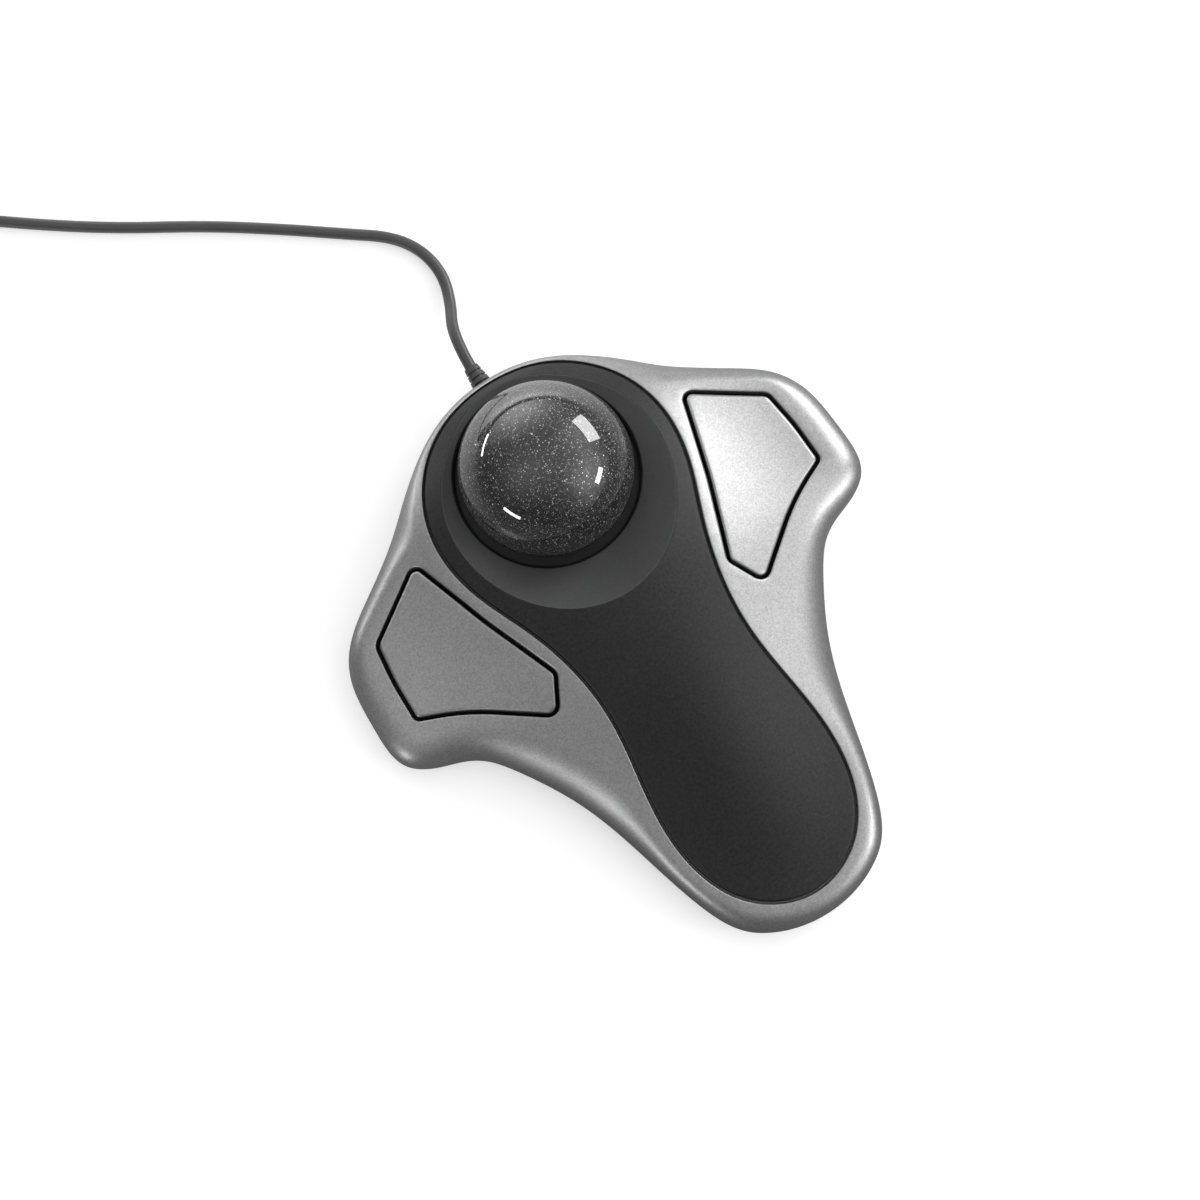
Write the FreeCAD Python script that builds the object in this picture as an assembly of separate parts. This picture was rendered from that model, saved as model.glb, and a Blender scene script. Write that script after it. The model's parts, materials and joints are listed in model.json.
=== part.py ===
import FreeCAD, Part
import math
import os

# Two-handed trackball mouse. Millimetres, +Z up, +Y towards the ball and the cable,
# origin on the desk under the centre of the shell. Left and right are mirror images in X.

os.makedirs("parts", exist_ok=True)
V = FreeCAD.Vector
Z = V(0, 0, 1)

# ---------------------------------------------------------------- driving dimensions
BALL_R = 20.0            # 40 mm ball
BALL = V(0, 45.2, 26.0)  # centre of the ball
CORE_R = 18.8            # speckled core
COAT_INNER_R = 19.1      # inside of the clear outer layer
LIP_R = 21.1             # opening round the ball
DISH_R = 44.0            # the finger dish is part of a sphere
DISH_Z = 58.0            # height of that sphere's centre, above the ball
DISH_WALL = 2.5
CUP_IN, CUP_OUT, CUP_TOP = 20.8, 22.2, 16.2
BEARING_R = 1.25
SENSOR_TILT = 40.0       # the sensor looks at the ball from this far below level
WALL = 2.2               # shell thickness under the top surface
SIDE = 2.0               # shell thickness at the sides
FOOT = 1.0               # the feet stand the case this far off the desk
PART_Z = 4.2             # parting line between the upper and lower shells
FLOOR_Z = 3.2            # inside of the lower shell's floor
KEY_GAP = 0.45           # half of the gap round each button
INLAY_GAP = 0.3          # half of the gap round the inlay
EDGE_Z = 8.0             # height that the top surface falls to far out on the wings
BOARD_Z, BOARD_T = 5.4, 1.6
HINGE = V(29.2, 6.25, 14.0)
KEY_U = V(0.607, 0.795, 0)      # along the button, from its hinge to its wide end
KEY_P = V(0.795, -0.607, 0)     # along the hinge pin
PIN_R = 0.75
SWITCH_AT = 15.0                # switch plunger, from the hinge pin
CORD_R = 1.4
CORD_EXIT_Z = 7.2

# crest height along Y, and the half width of the bell-shaped cross-section along Y
CREST = [(-82.0, 8.2), (-77.65, 8.6), (-66.05, 10.4), (-53.05, 14.4), (-43.05, 17.6), (-23.05, 23.6), (1.95, 29.0), (16.95, 31.0),
         (30.35, 31.5), (43.95, 30.5), (56.95, 27.0), (64.95, 23.0), (68.55, 20.5), (71.95, 16.6), (76.35, 11.0), (82.0, 4.0)]
WIDTH = [(-82.0, 24.0), (-77.65, 24.0), (-43.05, 25.0), (-19.05, 30.0), (-1.05, 37.5), (8.35, 40.5), (18.35, 41.0), (36.35, 41.0),
         (46.35, 39.0), (56.95, 34.0), (64.95, 28.0), (76.35, 23.0), (82.0, 21.0)]
# right half of the outline, from the back centre to the front centre
OUTLINE = [(0.00, -72.44), (4.79, -72.06), (9.46, -70.92), (13.87, -69.01), (17.82, -66.28), (20.84, -62.56), (22.96, -58.24),
           (24.59, -53.72), (25.97, -49.11), (27.22, -44.46), (28.40, -39.79), (29.60, -35.14), (30.90, -30.50), (32.39, -25.92),
           (34.12, -21.44), (36.15, -17.07), (38.43, -12.84), (40.90, -8.71), (43.55, -4.69), (46.63, -1.01), (50.61, 1.66),
           (55.11, 3.36), (59.49, 5.32), (63.04, 8.52), (64.48, 13.05), (64.58, 17.86), (64.37, 22.66), (63.94, 27.45),
           (62.90, 32.14), (60.81, 36.46), (57.70, 40.11), (53.93, 43.09), (49.88, 45.69), (45.79, 48.22), (41.79, 50.90),
           (37.94, 53.78), (34.19, 56.80), (30.45, 59.83), (26.63, 62.76), (22.65, 65.46), (18.47, 67.83), (14.08, 69.80),
           (9.51, 71.30), (4.80, 72.20), (0.00, 72.44)]
# right half of the inlay's edge, the same way
INLAY = [(0.00, -66.66), (4.89, -65.97), (9.45, -64.06), (13.45, -61.14), (16.66, -57.38), (19.00, -53.02), (20.51, -48.31),
         (21.35, -43.43), (21.62, -38.48), (21.44, -33.53), (20.91, -28.60), (20.18, -23.70), (19.42, -18.80), (18.81, -13.89),
         (18.52, -8.94), (18.63, -3.99), (19.17, 0.94), (20.08, 5.81), (21.31, 10.61), (22.84, 15.32), (24.61, 19.95),
         (26.47, 24.54), (28.15, 29.21), (29.42, 33.99), (30.12, 38.90), (30.14, 43.85), (29.36, 48.74), (27.77, 53.43),
         (25.43, 57.78), (22.37, 61.68), (18.67, 64.96), (14.41, 67.49), (9.78, 69.25), (4.94, 70.28), (0.00, 70.61)]
# right button: corner points and the rounding at each, counter-clockwise
KEY = [((23.3, 5.55), 2.0), ((27.9, -2.55), 2.2), ((36.6, 4.2), 45.0), ((44.6, 10.4), 60.0), ((55.2, 15.25), 1.6), ((54.9, 25.2), 60.0),
       ((53.6, 34.45), 2.6), ((36.6, 44.85), 2.0), ((30.1, 23.9), 90.0)]
# the cord's route outside the shell: straight runs, rounded at each point
CORD = [(0.0, 78.5, 7.2), (0.6, 87.6, 6.5), (4.9, 95.4, 2.4), (7.2, 102.6, 1.4), (6.2, 110.2, 1.4), (1.9, 117.0, 1.4), (-6.6, 123.4, 1.4),
        (-18.5, 132.6, 1.4), (-34.0, 143.8, 1.4), (-51.5, 154.6, 1.4), (-68.0, 166.6, 1.4), (-85.1, 180.4, 1.4)]
COIL_IN, COIL_OUT, COIL_H = 10.1, 21.5, 11.3     # four turns wide and four high
COIL_TURN_R = 20.0
COIL_TOP_Z = 9.8         # centre of the top turn, where the plug's end leaves the coil
COIL_STUB = 14.0
PLUG_STUB = 24.0
PLUG_Z = 4.2

# ---------------------------------------------------------------- helpers


def natural_spline(points):
    xs = [p[0] for p in points]
    ys = [p[1] for p in points]
    n = len(xs)
    h = [xs[i + 1] - xs[i] for i in range(n - 1)]
    a, b, c, d = [0.0] * n, [1.0] * n, [0.0] * n, [0.0] * n
    for i in range(1, n - 1):
        a[i], b[i], c[i] = h[i - 1], 2 * (h[i - 1] + h[i]), h[i]
        d[i] = 6 * ((ys[i + 1] - ys[i]) / h[i] - (ys[i] - ys[i - 1]) / h[i - 1])
    for i in range(1, n):
        m = a[i] / b[i - 1]
        b[i] -= m * c[i - 1]
        d[i] -= m * d[i - 1]
    s = [0.0] * n
    s[-1] = d[-1] / b[-1]
    for i in range(n - 2, -1, -1):
        s[i] = (d[i] - c[i] * s[i + 1]) / b[i]

    def f(x):
        x = min(max(x, xs[0]), xs[-1])
        i = 0
        while i < n - 2 and x > xs[i + 1]:
            i += 1
        t, u, k = x - xs[i], xs[i + 1] - x, h[i]
        return (s[i] * u ** 3 + s[i + 1] * t ** 3) / (6 * k) + (ys[i] / k - s[i] * k / 6) * u + (ys[i + 1] / k - s[i + 1] * k / 6) * t
    return f


crest, width = natural_spline(CREST), natural_spline(WIDTH)


def top_z(x, y):
    """Height of the top surface."""
    return EDGE_Z + (crest(y) - EDGE_Z) * math.exp(-(x / width(y)) ** 2)


def closed(half):
    """Both halves of a mirrored outline, as one loop of points."""
    return [V(x, y, 0) for x, y in half] + [V(-x, y, 0) for x, y in reversed(half[1:-1])]


def offset(points, d):
    """The loop moved outwards by d."""
    n = len(points)
    out = []
    for i, p in enumerate(points):
        t = points[(i + 1) % n] - points[i - 1]
        t.normalize()
        out.append(p + V(t.y, -t.x, 0) * d)
    return out


def spline_prism(points, z0, z1):
    curve = Part.BSplineCurve()
    curve.interpolate(Points=points, PeriodicFlag=True)
    face = Part.Face(Part.Wire([curve.toShape()]))
    solid = face.extrude(V(0, 0, z1 - z0))
    solid.translate(V(0, 0, z0))
    return solid


def offset_corners(corners, d):
    """A counter-clockwise polygon with rounded corners, moved outwards by d."""
    n = len(corners)
    lines = []
    for i in range(n):
        p, q = V(*corners[i][0], 0), V(*corners[(i + 1) % n][0], 0)
        t = q - p
        t.normalize()
        lines.append((p + V(t.y, -t.x, 0) * d, t))
    out = []
    for i in range(n):
        (p, t), (q, s) = lines[i - 1], lines[i]
        k = ((q - p).cross(s)).z / (t.cross(s)).z
        r = corners[i][1]
        turn = t.cross(s).z
        r2 = r + d if turn > 0 else r - d
        m = p + t * k
        out.append(((m.x, m.y), max(r2, 0.5)))
    return out


def rounded_path(points, radii, close=False):
    """Straight runs joined by tangent arcs. Returns the edges."""
    n = len(points)
    corners = []
    for i in range(n):
        if not close and i in (0, n - 1):
            corners.append((points[i], points[i], None))
            continue
        p, a, b = points[i], points[i - 1], points[(i + 1) % n]
        u, w = a - p, b - p
        u.normalize()
        w.normalize()
        half = math.acos(max(-1.0, min(1.0, u.dot(w)))) / 2
        cut = radii[i] / math.tan(half)
        start, end = p + u * cut, p + w * cut
        mid = u + w
        mid.normalize()
        apex = p + mid * (radii[i] / math.sin(half) - radii[i])
        corners.append((start, end, apex))
    edges = []
    for i in range(n):
        s, e, m = corners[i]
        if m is not None:
            edges.append(Part.Arc(s, m, e).toShape())
        j = (i + 1) % n
        if j == 0 and not close:
            break
        if (corners[j][0] - e).Length > 1e-6:
            edges.append(Part.LineSegment(e, corners[j][0]).toShape())
    return edges


def key_prism(d, z0, z1):
    corners = offset_corners(KEY, d)
    edges = rounded_path([V(x, y, 0) for (x, y), r in corners], [r for q, r in corners], close=True)
    face = Part.Face(Part.Wire(Part.__sortEdges__(edges)))
    solid = face.extrude(V(0, 0, z1 - z0))
    solid.translate(V(0, 0, z0))
    return solid


def cyl(r, length, base, axis=Z):
    return Part.makeCylinder(r, length, base, axis)


def cone(r1, r2, length, base, axis=Z):
    return Part.makeCone(r1, r2, length, base, axis)


def slab(points, z, t):
    """A flat plate of thickness t on z, with a polygon outline."""
    p = [V(x, y, z) for x, y in points]
    return Part.Face(Part.makePolygon(p + p[:1])).extrude(V(0, 0, t))


def oriented_box(centre, u, p, w, lu, lp, lw):
    """A box with its sides along the unit vectors u, p and w."""
    c = centre - u * (lu / 2) - p * (lp / 2) - w * (lw / 2)
    wire = Part.makePolygon([c, c + u * lu, c + u * lu + p * lp, c + p * lp, c])
    return Part.Face(wire).extrude(w * lw)


def mirrored(shape):
    return shape.mirror(V(0, 0, 0), V(1, 0, 0))


def fuse(first, *others):
    return first.multiFuse(list(others)).removeSplitter()


def one(shape, name):
    solids = shape.Solids
    if len(solids) != 1:
        big = sorted(solids, key=lambda s: -s.Volume)
        print(name, "has", len(solids), "solids", [round(s.Volume, 2) for s in big[:5]])
        return big[0]
    return solids[0]


def write(name, shape):
    if not shape.isValid():
        print("NOT VALID", name)
    shape.exportStep("parts/" + name + ".step")


def round_edges(shape, radius, test):
    """Fillets the edges that test picks, one group at a time, and keeps the sharp edge where that can't be done."""
    edges = [e for e in shape.Edges if test(e)]
    if not edges:
        return shape
    try:
        out = shape.makeFillet(radius, edges)
        if out.isValid() and len(out.Solids) == 1 and 0.9 < out.Volume / shape.Volume < 1.02:
            return out.Solids[0]
    except Exception:
        pass
    return shape


# ---------------------------------------------------------------- top surface
xs = [-72 + 6 * i for i in range(25)]
ys = [-80 + 4 * i for i in range(41)]
surface = Part.BSplineSurface()
surface.interpolate([[V(x, y, top_z(x, y)) for y in ys] for x in xs])
TOP_FACE = surface.toShape()


def below(t):
    """Everything under the top surface, lowered by t."""
    face = TOP_FACE.copy()
    face.translate(V(0, 0, -t))
    return face.extrude(V(0, 0, -60))


OUT = closed(OUTLINE)
INL = closed(INLAY)
outer = spline_prism(OUT, PART_Z, 60)
dish = Part.makeSphere(DISH_R, V(0, BALL.y, DISH_Z))
dish_under = Part.makeSphere(DISH_R + DISH_WALL, V(0, BALL.y, DISH_Z))
top_solid = below(0)

# ---------------------------------------------------------------- ball, cup and bearings
coat = Part.makeSphere(BALL_R, BALL).cut(Part.makeSphere(COAT_INNER_R, BALL))
core = Part.makeSphere(CORE_R, BALL)
write("ball_clear_coat", coat)
write("ball_core", core)

SENSOR_N = V(0, -math.cos(math.radians(SENSOR_TILT)), -math.sin(math.radians(SENSOR_TILT)))
SENSOR_T = V(0, -math.sin(math.radians(SENSOR_TILT)), math.cos(math.radians(SENSOR_TILT)))
X = V(1, 0, 0)


def on_sensor(d, x=0.0, t=0.0):
    """A point at distance d from the ball's centre towards the sensor, x sideways and t up the sensor board."""
    return BALL + SENSOR_N * d + X * x + SENSOR_T * t


bearing_dirs = []
for az in (90, 210, 330):
    a, e = math.radians(az), math.radians(-45)
    bearing_dirs.append(V(math.cos(a) * math.cos(e), math.sin(a) * math.cos(e), math.sin(e)))
bearing_at = [BALL + d * (BALL_R + BEARING_R + 0.02) for d in bearing_dirs]

cup = Part.makeSphere(CUP_OUT, BALL).cut(Part.makeBox(60, 60, 60, V(-30, BALL.y - 30, CUP_TOP)))
flange = cyl(22.6, 1.4, V(0, BALL.y, CUP_TOP - 1.4))
LEGS = [(19.2, 7.0), (-19.2, 7.0), (13.1, -15.6), (-13.1, -15.6)]
legs = [cyl(1.6, CUP_TOP - 0.7 - FLOOR_Z, V(x, BALL.y + y, FLOOR_Z)) for x, y in LEGS]
bosses = [Part.makeSphere(2.7, c) for c in bearing_at]
sensor_boss = [cyl(1.9, 8.0, on_sensor(18.1, s * 8.0, -3.4), SENSOR_N) for s in (1, -1)]
cup = fuse(cup, flange, *legs, *bosses, *sensor_boss)
cup = cup.cut(Part.makeSphere(CUP_IN, BALL))
for c in bearing_at:
    cup = cup.cut(Part.makeSphere(BEARING_R + 0.02, c))
cup = cup.cut(cyl(4.0, 8, on_sensor(18), SENSOR_N)).cut(oriented_box(on_sensor(26.2), SENSOR_N, X, SENSOR_T, 5.0, 11.6, 9.8))
cup = cup.cut(cyl(1.8, 8, on_sensor(17, 7.4, 0.8), SENSOR_N))
for s in (1, -1):
    cup = cup.cut(cyl(0.9, 7.0, on_sensor(22.0, s * 8.0, -3.4), SENSOR_N))
write("ball_cup", one(cup, "ball_cup"))
write("support_bearings", Part.makeCompound([Part.makeSphere(BEARING_R, c) for c in bearing_at]))

# sensor group, square to the line from the ball's centre
lens = fuse(cyl(3.6, 1.4, on_sensor(22.4), SENSOR_N), cyl(2.2, 1.2, on_sensor(21.3), SENSOR_N))
lens = lens.cut(Part.makeSphere(20.9, BALL))
write("sensor_lens", one(lens, "sensor_lens"))
chip = oriented_box(on_sensor(25.0), SENSOR_N, X, SENSOR_T, 2.2, 9.0, 9.0)
chip = chip.cut(cyl(1.1, 1.2, on_sensor(23.8), SENSOR_N))
pins = [oriented_box(on_sensor(24.9, s * 5.0, t), SENSOR_N, X, SENSOR_T, 2.4, 1.0, 0.6) for s in (1, -1) for t in (-3, -1, 1, 3)]
write("sensor_chip", one(fuse(chip, *pins), "sensor_chip"))
sensor_board = oriented_box(on_sensor(26.9, 0, 1.7), SENSOR_N, X, SENSOR_T, 1.6, 19.8, 14.6)
for s in (1, -1):
    sensor_board = sensor_board.cut(cyl(1.1, 6, on_sensor(24, s * 8.0, -3.4), SENSOR_N))
write("sensor_board", one(sensor_board, "sensor_board"))
led = fuse(cyl(1.5, 3.2, on_sensor(22.9, 7.4, 0.8), SENSOR_N), Part.makeSphere(1.5, on_sensor(22.9, 7.4, 0.8)))
led = led.cut(Part.makeSphere(20.9, BALL))
write("sensor_led", one(led, "sensor_led"))

# ---------------------------------------------------------------- upper shell
inner = spline_prism(offset(OUT, -SIDE), PART_Z - 1, 60).common(below(WALL))
top_case = outer.common(top_solid).cut(inner)
ledge = spline_prism(offset(INL, 2.0), PART_Z, 60).common(outer).common(below(2.0)).cut(below(4.6))
top_case = fuse(top_case, ledge)
pocket = spline_prism(offset(INL, INLAY_GAP), 0, 60).cut(below(2.6))
top_case = top_case.cut(pocket)
well = spline_prism(offset(INL, -2.0), 0, 60).common(cyl(35.2, 60, V(0, BALL.y, 0)))
top_case = top_case.cut(well)
top_case = top_case.cut(Part.makeSphere(DISH_R + DISH_WALL + 0.2, V(0, BALL.y, DISH_Z)))
key_hole = key_prism(KEY_GAP, 0, 60)
top_case = top_case.cut(key_hole).cut(mirrored(key_hole))
CASE_SCREWS = [(13.0, -48.0), (-13.0, -48.0), (33.6, 51.6), (-33.6, 51.6)]
for x, y in CASE_SCREWS:
    roof = top_z(x, y) - (3.4 if abs(y + 48) < 1 else 1.0)
    post = cyl(2.9, roof - PART_Z - 0.2, V(x, y, PART_Z + 0.2)).common(below(1.0 if y > 0 else 3.4))
    top_case = fuse(top_case, post)
for x, y in CASE_SCREWS:
    top_case = top_case.cut(cyl(1.02, 6.2, V(x, y, PART_Z)))
# hole for the strain relief, in the front wall
top_case = top_case.cut(cyl(2.42, 8, V(0, 66.8, CORD_EXIT_Z), V(0, 1, 0)))
top_case = one(top_case, "top_case")
write("top_case", top_case)

# ---------------------------------------------------------------- lower shell
lo = Part.BSplineCurve()
lo.interpolate(Points=[p + V(0, 0, FOOT) for p in offset(OUT, -2.6)], PeriodicFlag=True)
hi = Part.BSplineCurve()
hi.interpolate(Points=[p + V(0, 0, PART_Z) for p in offset(OUT, -0.25)], PeriodicFlag=True)
bottom = Part.makeLoft([Part.Wire([lo.toShape()]), Part.Wire([hi.toShape()])], True, True)
bottom = bottom.cut(spline_prism(offset(OUT, -4.2), FLOOR_Z, PART_Z + 2))
lip = spline_prism(offset(OUT, -SIDE - 0.15), FLOOR_Z, PART_Z + 1.6).cut(spline_prism(offset(OUT, -SIDE - 1.5), FLOOR_Z - 1, PART_Z + 3))
lip = lip.cut(Part.makeBox(12, 8, 6, V(-6, 66, PART_Z)))
bottom = fuse(bottom, lip)
inside_lip = spline_prism(offset(OUT, -SIDE - 0.15), 0, 10)
for x, y in CASE_SCREWS:
    bottom = bottom.cut(cyl(3.3, 6, V(x, y, PART_Z)))
    bottom = fuse(bottom, cyl(3.4, PART_Z + 0.2 - FLOOR_Z, V(x, y, FLOOR_Z)).common(inside_lip))
    bottom = bottom.cut(cyl(1.35, 8, V(x, y, 0.5)))
    bottom = bottom.cut(cyl(2.6, 1.8, V(x, y, 0.5)))
BOARD_SCREWS = [(42.0, 24.0), (-42.0, 24.0), (16.0, -26.0), (-16.0, -26.0)]
for x, y in BOARD_SCREWS:
    bottom = fuse(bottom, cyl(2.3, BOARD_Z - FLOOR_Z, V(x, y, FLOOR_Z)))
    bottom = bottom.cut(cyl(1.02, BOARD_Z - 1.9, V(x, y, 1.9)))
for x, y in LEGS:
    ring = cyl(3.0, 2.0, V(x, BALL.y + y, FLOOR_Z)).cut(cyl(1.68, 2.0, V(x, BALL.y + y, FLOOR_Z)))
    bottom = fuse(bottom, ring)
# two ears on each side carry the button's hinge pin
for side in (1, -1):
    u, p = V(KEY_U.x * side, KEY_U.y, 0), V(KEY_P.x * side, KEY_P.y, 0)
    h = V(HINGE.x * side, HINGE.y, HINGE.z)
    for s in (1, -1):
        c = h + p * (s * 2.75)
        ear = oriented_box(V(c.x, c.y, (FLOOR_Z + HINGE.z) / 2), u, p, Z, 4.4, 1.6, HINGE.z - FLOOR_Z)
        ear = fuse(ear, cyl(2.2, 1.6, c - p * 0.8, p))
        bottom = fuse(bottom, ear)
    bottom = bottom.cut(cyl(PIN_R + 0.01, 12, h - p * 6, p))
# recesses for the feet
FEET = [(0.0, -62.0, 9.0, 5.0), (56.0, 20.0, 4.0, 8.0), (-56.0, 20.0, 4.0, 8.0), (15.5, 61.5, 6.0, 3.0), (-15.5, 61.5, 6.0, 3.0)]


def pad(x, y, rx, ry, z, t):
    if abs(rx - ry) < 0.01:
        return cyl(rx, t, V(x, y, z))
    major, minor = (rx, ry) if rx > ry else (ry, rx)
    e = Part.Ellipse(V(x, y, z), major, minor)
    shape = Part.Face(Part.Wire([e.toShape()])).extrude(V(0, 0, t))
    if ry > rx:
        shape.rotate(V(x, y, z), Z, 90)
    return shape


for x, y, rx, ry in FEET:
    bottom = bottom.cut(pad(x, y, rx + 0.15, ry + 0.15, FOOT - 0.5, 1.1))
# shallow recess for the label
bottom = bottom.cut(Part.makeBox(34.4, 22.4, 0.5, V(-17.2, -31.2, FOOT - 0.3)))
write("bottom_case", one(bottom, "bottom_case"))
feet = []
for x, y, rx, ry in FEET:
    feet.append(round_edges(pad(x, y, rx, ry, 0, FOOT + 0.6), 0.35, lambda e: e.BoundBox.ZMax < 0.01))
write("rubber_feet", Part.makeCompound(feet))
write("rating_label", Part.makeBox(34.0, 22.0, 0.18, V(-17, -31, FOOT + 0.02)))

# ---------------------------------------------------------------- inlay
inlay = spline_prism(offset(INL, -INLAY_GAP), 0, 60).common(top_solid).cut(dish)
under = spline_prism(offset(INL, 6.0), -5, 60).common(below(2.5)).cut(dish_under)
inlay = inlay.cut(under).cut(cyl(LIP_R, 70, V(0, BALL.y, -5)))
write("centre_inlay", one(inlay, "centre_inlay"))

# ---------------------------------------------------------------- buttons
key = key_prism(-KEY_GAP, 0, 60).common(top_solid).cut(below(4.4))
key = key.cut(key_prism(-KEY_GAP - 1.2, 0, 60).common(below(2.0)))
lug = oriented_box(V(HINGE.x, HINGE.y, HINGE.z + 3.0), KEY_U, KEY_P, Z, 4.0, 3.6, 6.0)
lug = fuse(lug, cyl(2.0, 3.6, HINGE - KEY_P * 1.8, KEY_P)).common(below(1.0))
switch_xy = HINGE + KEY_U * SWITCH_AT
PLUNGER_TOP = 14.1
rib = cyl(1.3, 8, V(switch_xy.x, switch_xy.y, PLUNGER_TOP + 0.03)).common(below(1.0))
stiffener = oriented_box(V(switch_xy.x, switch_xy.y, PLUNGER_TOP + 3.6) + KEY_U * 8, KEY_U, KEY_P, Z, 12.0, 1.2, 6.0).common(below(1.0)).cut(below(3.6))
key = fuse(key, lug, rib, stiffener)
key = key.cut(cyl(PIN_R + 0.06, 12, HINGE - KEY_P * 6, KEY_P))
key = one(key, "right_button")
write("right_button", key)
write("left_button", mirrored(key))
pin = cyl(PIN_R, 7.1, HINGE - KEY_P * 3.55, KEY_P)
write("right_hinge_pin", pin)
write("left_hinge_pin", mirrored(pin))

# ---------------------------------------------------------------- boards and what is on them
board = slab([(-20, -30), (20, -30), (20, 12.5), (45, 12.5), (45, 27), (13.5, 27), (13.5, 13), (-13.5, 13), (-13.5, 27), (-45, 27),
              (-45, 12.5), (-20, 12.5)], BOARD_Z, BOARD_T)
for x, y in BOARD_SCREWS:
    board = board.cut(cyl(1.3, 4, V(x, y, BOARD_Z - 1)))
write("main_board", one(board, "main_board"))
ON = BOARD_Z + BOARD_T
sx, sy = switch_xy.x, switch_xy.y
body = Part.makeBox(12.8, 5.8, 6.4, V(sx - 9.4, sy - 2.9, ON))
body = round_edges(body, 0.4, lambda e: e.BoundBox.ZMin > ON + 6.3)
body = body.cut(cyl(1.15, 4, V(sx, sy, ON + 6.4 - 2.2)))
body = body.cut(cyl(0.7, 12, V(sx - 7.6, sy - 6, ON + 1.6), V(0, 1, 0))).cut(cyl(0.7, 12, V(sx + 1.6, sy - 6, ON + 1.6), V(0, 1, 0)))
plunger = fuse(cyl(1.0, PLUNGER_TOP - (ON + 4.9) - 0.3, V(sx, sy, ON + 4.9)), cone(1.0, 0.75, 0.3, V(sx, sy, PLUNGER_TOP - 0.3)))
write("right_switch_body", one(body, "right_switch_body"))
write("left_switch_body", mirrored(one(body, "left_switch_body")))
write("right_switch_plunger", plunger)
write("left_switch_plunger", mirrored(plunger))

controller = Part.makeBox(12.0, 7.5, 1.9, V(-6, -12, ON + 0.15))
legs = [Part.makeBox(0.45, 9.9, 1.0, V(-5.3 + 1.27 * i, -13.2, ON)) for i in range(9)]
write("controller_chip", one(fuse(controller, *legs), "controller_chip"))
can = fuse(Part.makeBox(6.5, 3.4, 3.2, V(-3.25, -20.7, ON)), cyl(1.7, 3.2, V(-3.25, -19.0, ON)), cyl(1.7, 3.2, V(3.25, -19.0, ON)))
write("crystal_can", one(can, "crystal_can"))
cap = fuse(cyl(2.5, 5.0, V(12.5, -16, ON + 0.2)), Part.makeBox(5.4, 5.4, 0.8, V(9.8, -18.7, ON)))
write("power_capacitor", one(cap, "power_capacitor"))
bits = []
for x, y in ((-14, -18), (-14, -15), (-14, -12), (-11, -18), (9, -8), (9, -5), (12, -5), (-11.5, -4), (-10, -1), (-8.5, -4), (5, 4), (8, 4), (-5, 5), (26, 17), (-26, 17)):
    bits.append(Part.makeBox(2.0, 1.2, 0.6, V(x, y, ON)))
write("chip_passives", Part.makeCompound(bits))
socket = Part.makeBox(8.0, 6.0, 5.5, V(14.5, 21.0, ON))
socket = socket.cut(Part.makeBox(6.6, 4.0, 3.6, V(15.2, 23.4, ON + 1.0)))
write("cable_socket", one(socket, "cable_socket"))
screws = []
for x, y in BOARD_SCREWS:
    s = fuse(cyl(2.1, 1.3, V(x, y, ON)), cyl(1.0, 4.4, V(x, y, ON - 4.4)))
    s = s.cut(Part.makeBox(3.0, 0.5, 0.7, V(x - 1.5, y - 0.25, ON + 0.8))).cut(Part.makeBox(0.5, 3.0, 0.7, V(x - 0.25, y - 1.5, ON + 0.8)))
    screws.append(s)
for s in (1, -1):
    q = fuse(cyl(1.8, 1.1, on_sensor(27.7, s * 8.0, -3.4), SENSOR_N), cyl(0.88, 4.8, on_sensor(22.9, s * 8.0, -3.4), SENSOR_N))
    screws.append(q)
write("board_screws", Part.makeCompound(screws))
screws = []
for x, y in CASE_SCREWS:
    s = fuse(cyl(2.5, 1.2, V(x, y, 1.1)), cyl(1.0, 7.2, V(x, y, 2.3)))
    s = s.cut(Part.makeBox(3.2, 0.5, 0.6, V(x - 1.6, y - 0.25, 1.1))).cut(Part.makeBox(0.5, 3.2, 0.6, V(x - 0.25, y - 1.6, 1.1)))
    screws.append(s)
write("case_screws", Part.makeCompound(screws))

# flat jumper from the sensor board to the main board
j0 = on_sensor(27.75, 0, 3.0)
J = [j0, j0 + SENSOR_N * 2.6, V(0, 14.5, ON + 4.2), V(0, 12.0, ON + 0.05)]
edges = rounded_path(J, [0, 1.2, 1.6, 0])
profile = Part.makePolygon([J[0] + X * -4 + SENSOR_T * -0.2, J[0] + X * 4 + SENSOR_T * -0.2, J[0] + X * 4 + SENSOR_T * 0.2,
                            J[0] + X * -4 + SENSOR_T * 0.2, J[0] + X * -4 + SENSOR_T * -0.2])
jumper = Part.Wire(edges).makePipeShell([profile], True, False)
jumper = jumper.cut(Part.makeBox(20, 40, 10, V(-10, 0, ON - 10)))
write("jumper_cable", one(jumper, "jumper_cable"))


def tube(points, r, radii=None):
    """A round tube along straight runs joined by arcs as large as the runs allow."""
    pts = [V(*p) for p in points]
    if radii is None:
        radii = [0.0] * len(pts)
        for i in range(1, len(pts) - 1):
            a, b = pts[i] - pts[i - 1], pts[i + 1] - pts[i]
            turn = a.getAngle(b)
            radii[i] = 0.45 * min(a.Length, b.Length) / math.tan(turn / 2)
    wire = Part.Wire(rounded_path(pts, radii))
    circle = Part.Wire([Part.Circle(pts[0], pts[1] - pts[0], r).toShape()])
    solid = wire.makePipeShell([circle], True, False)
    return solid, wire, radii


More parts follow.
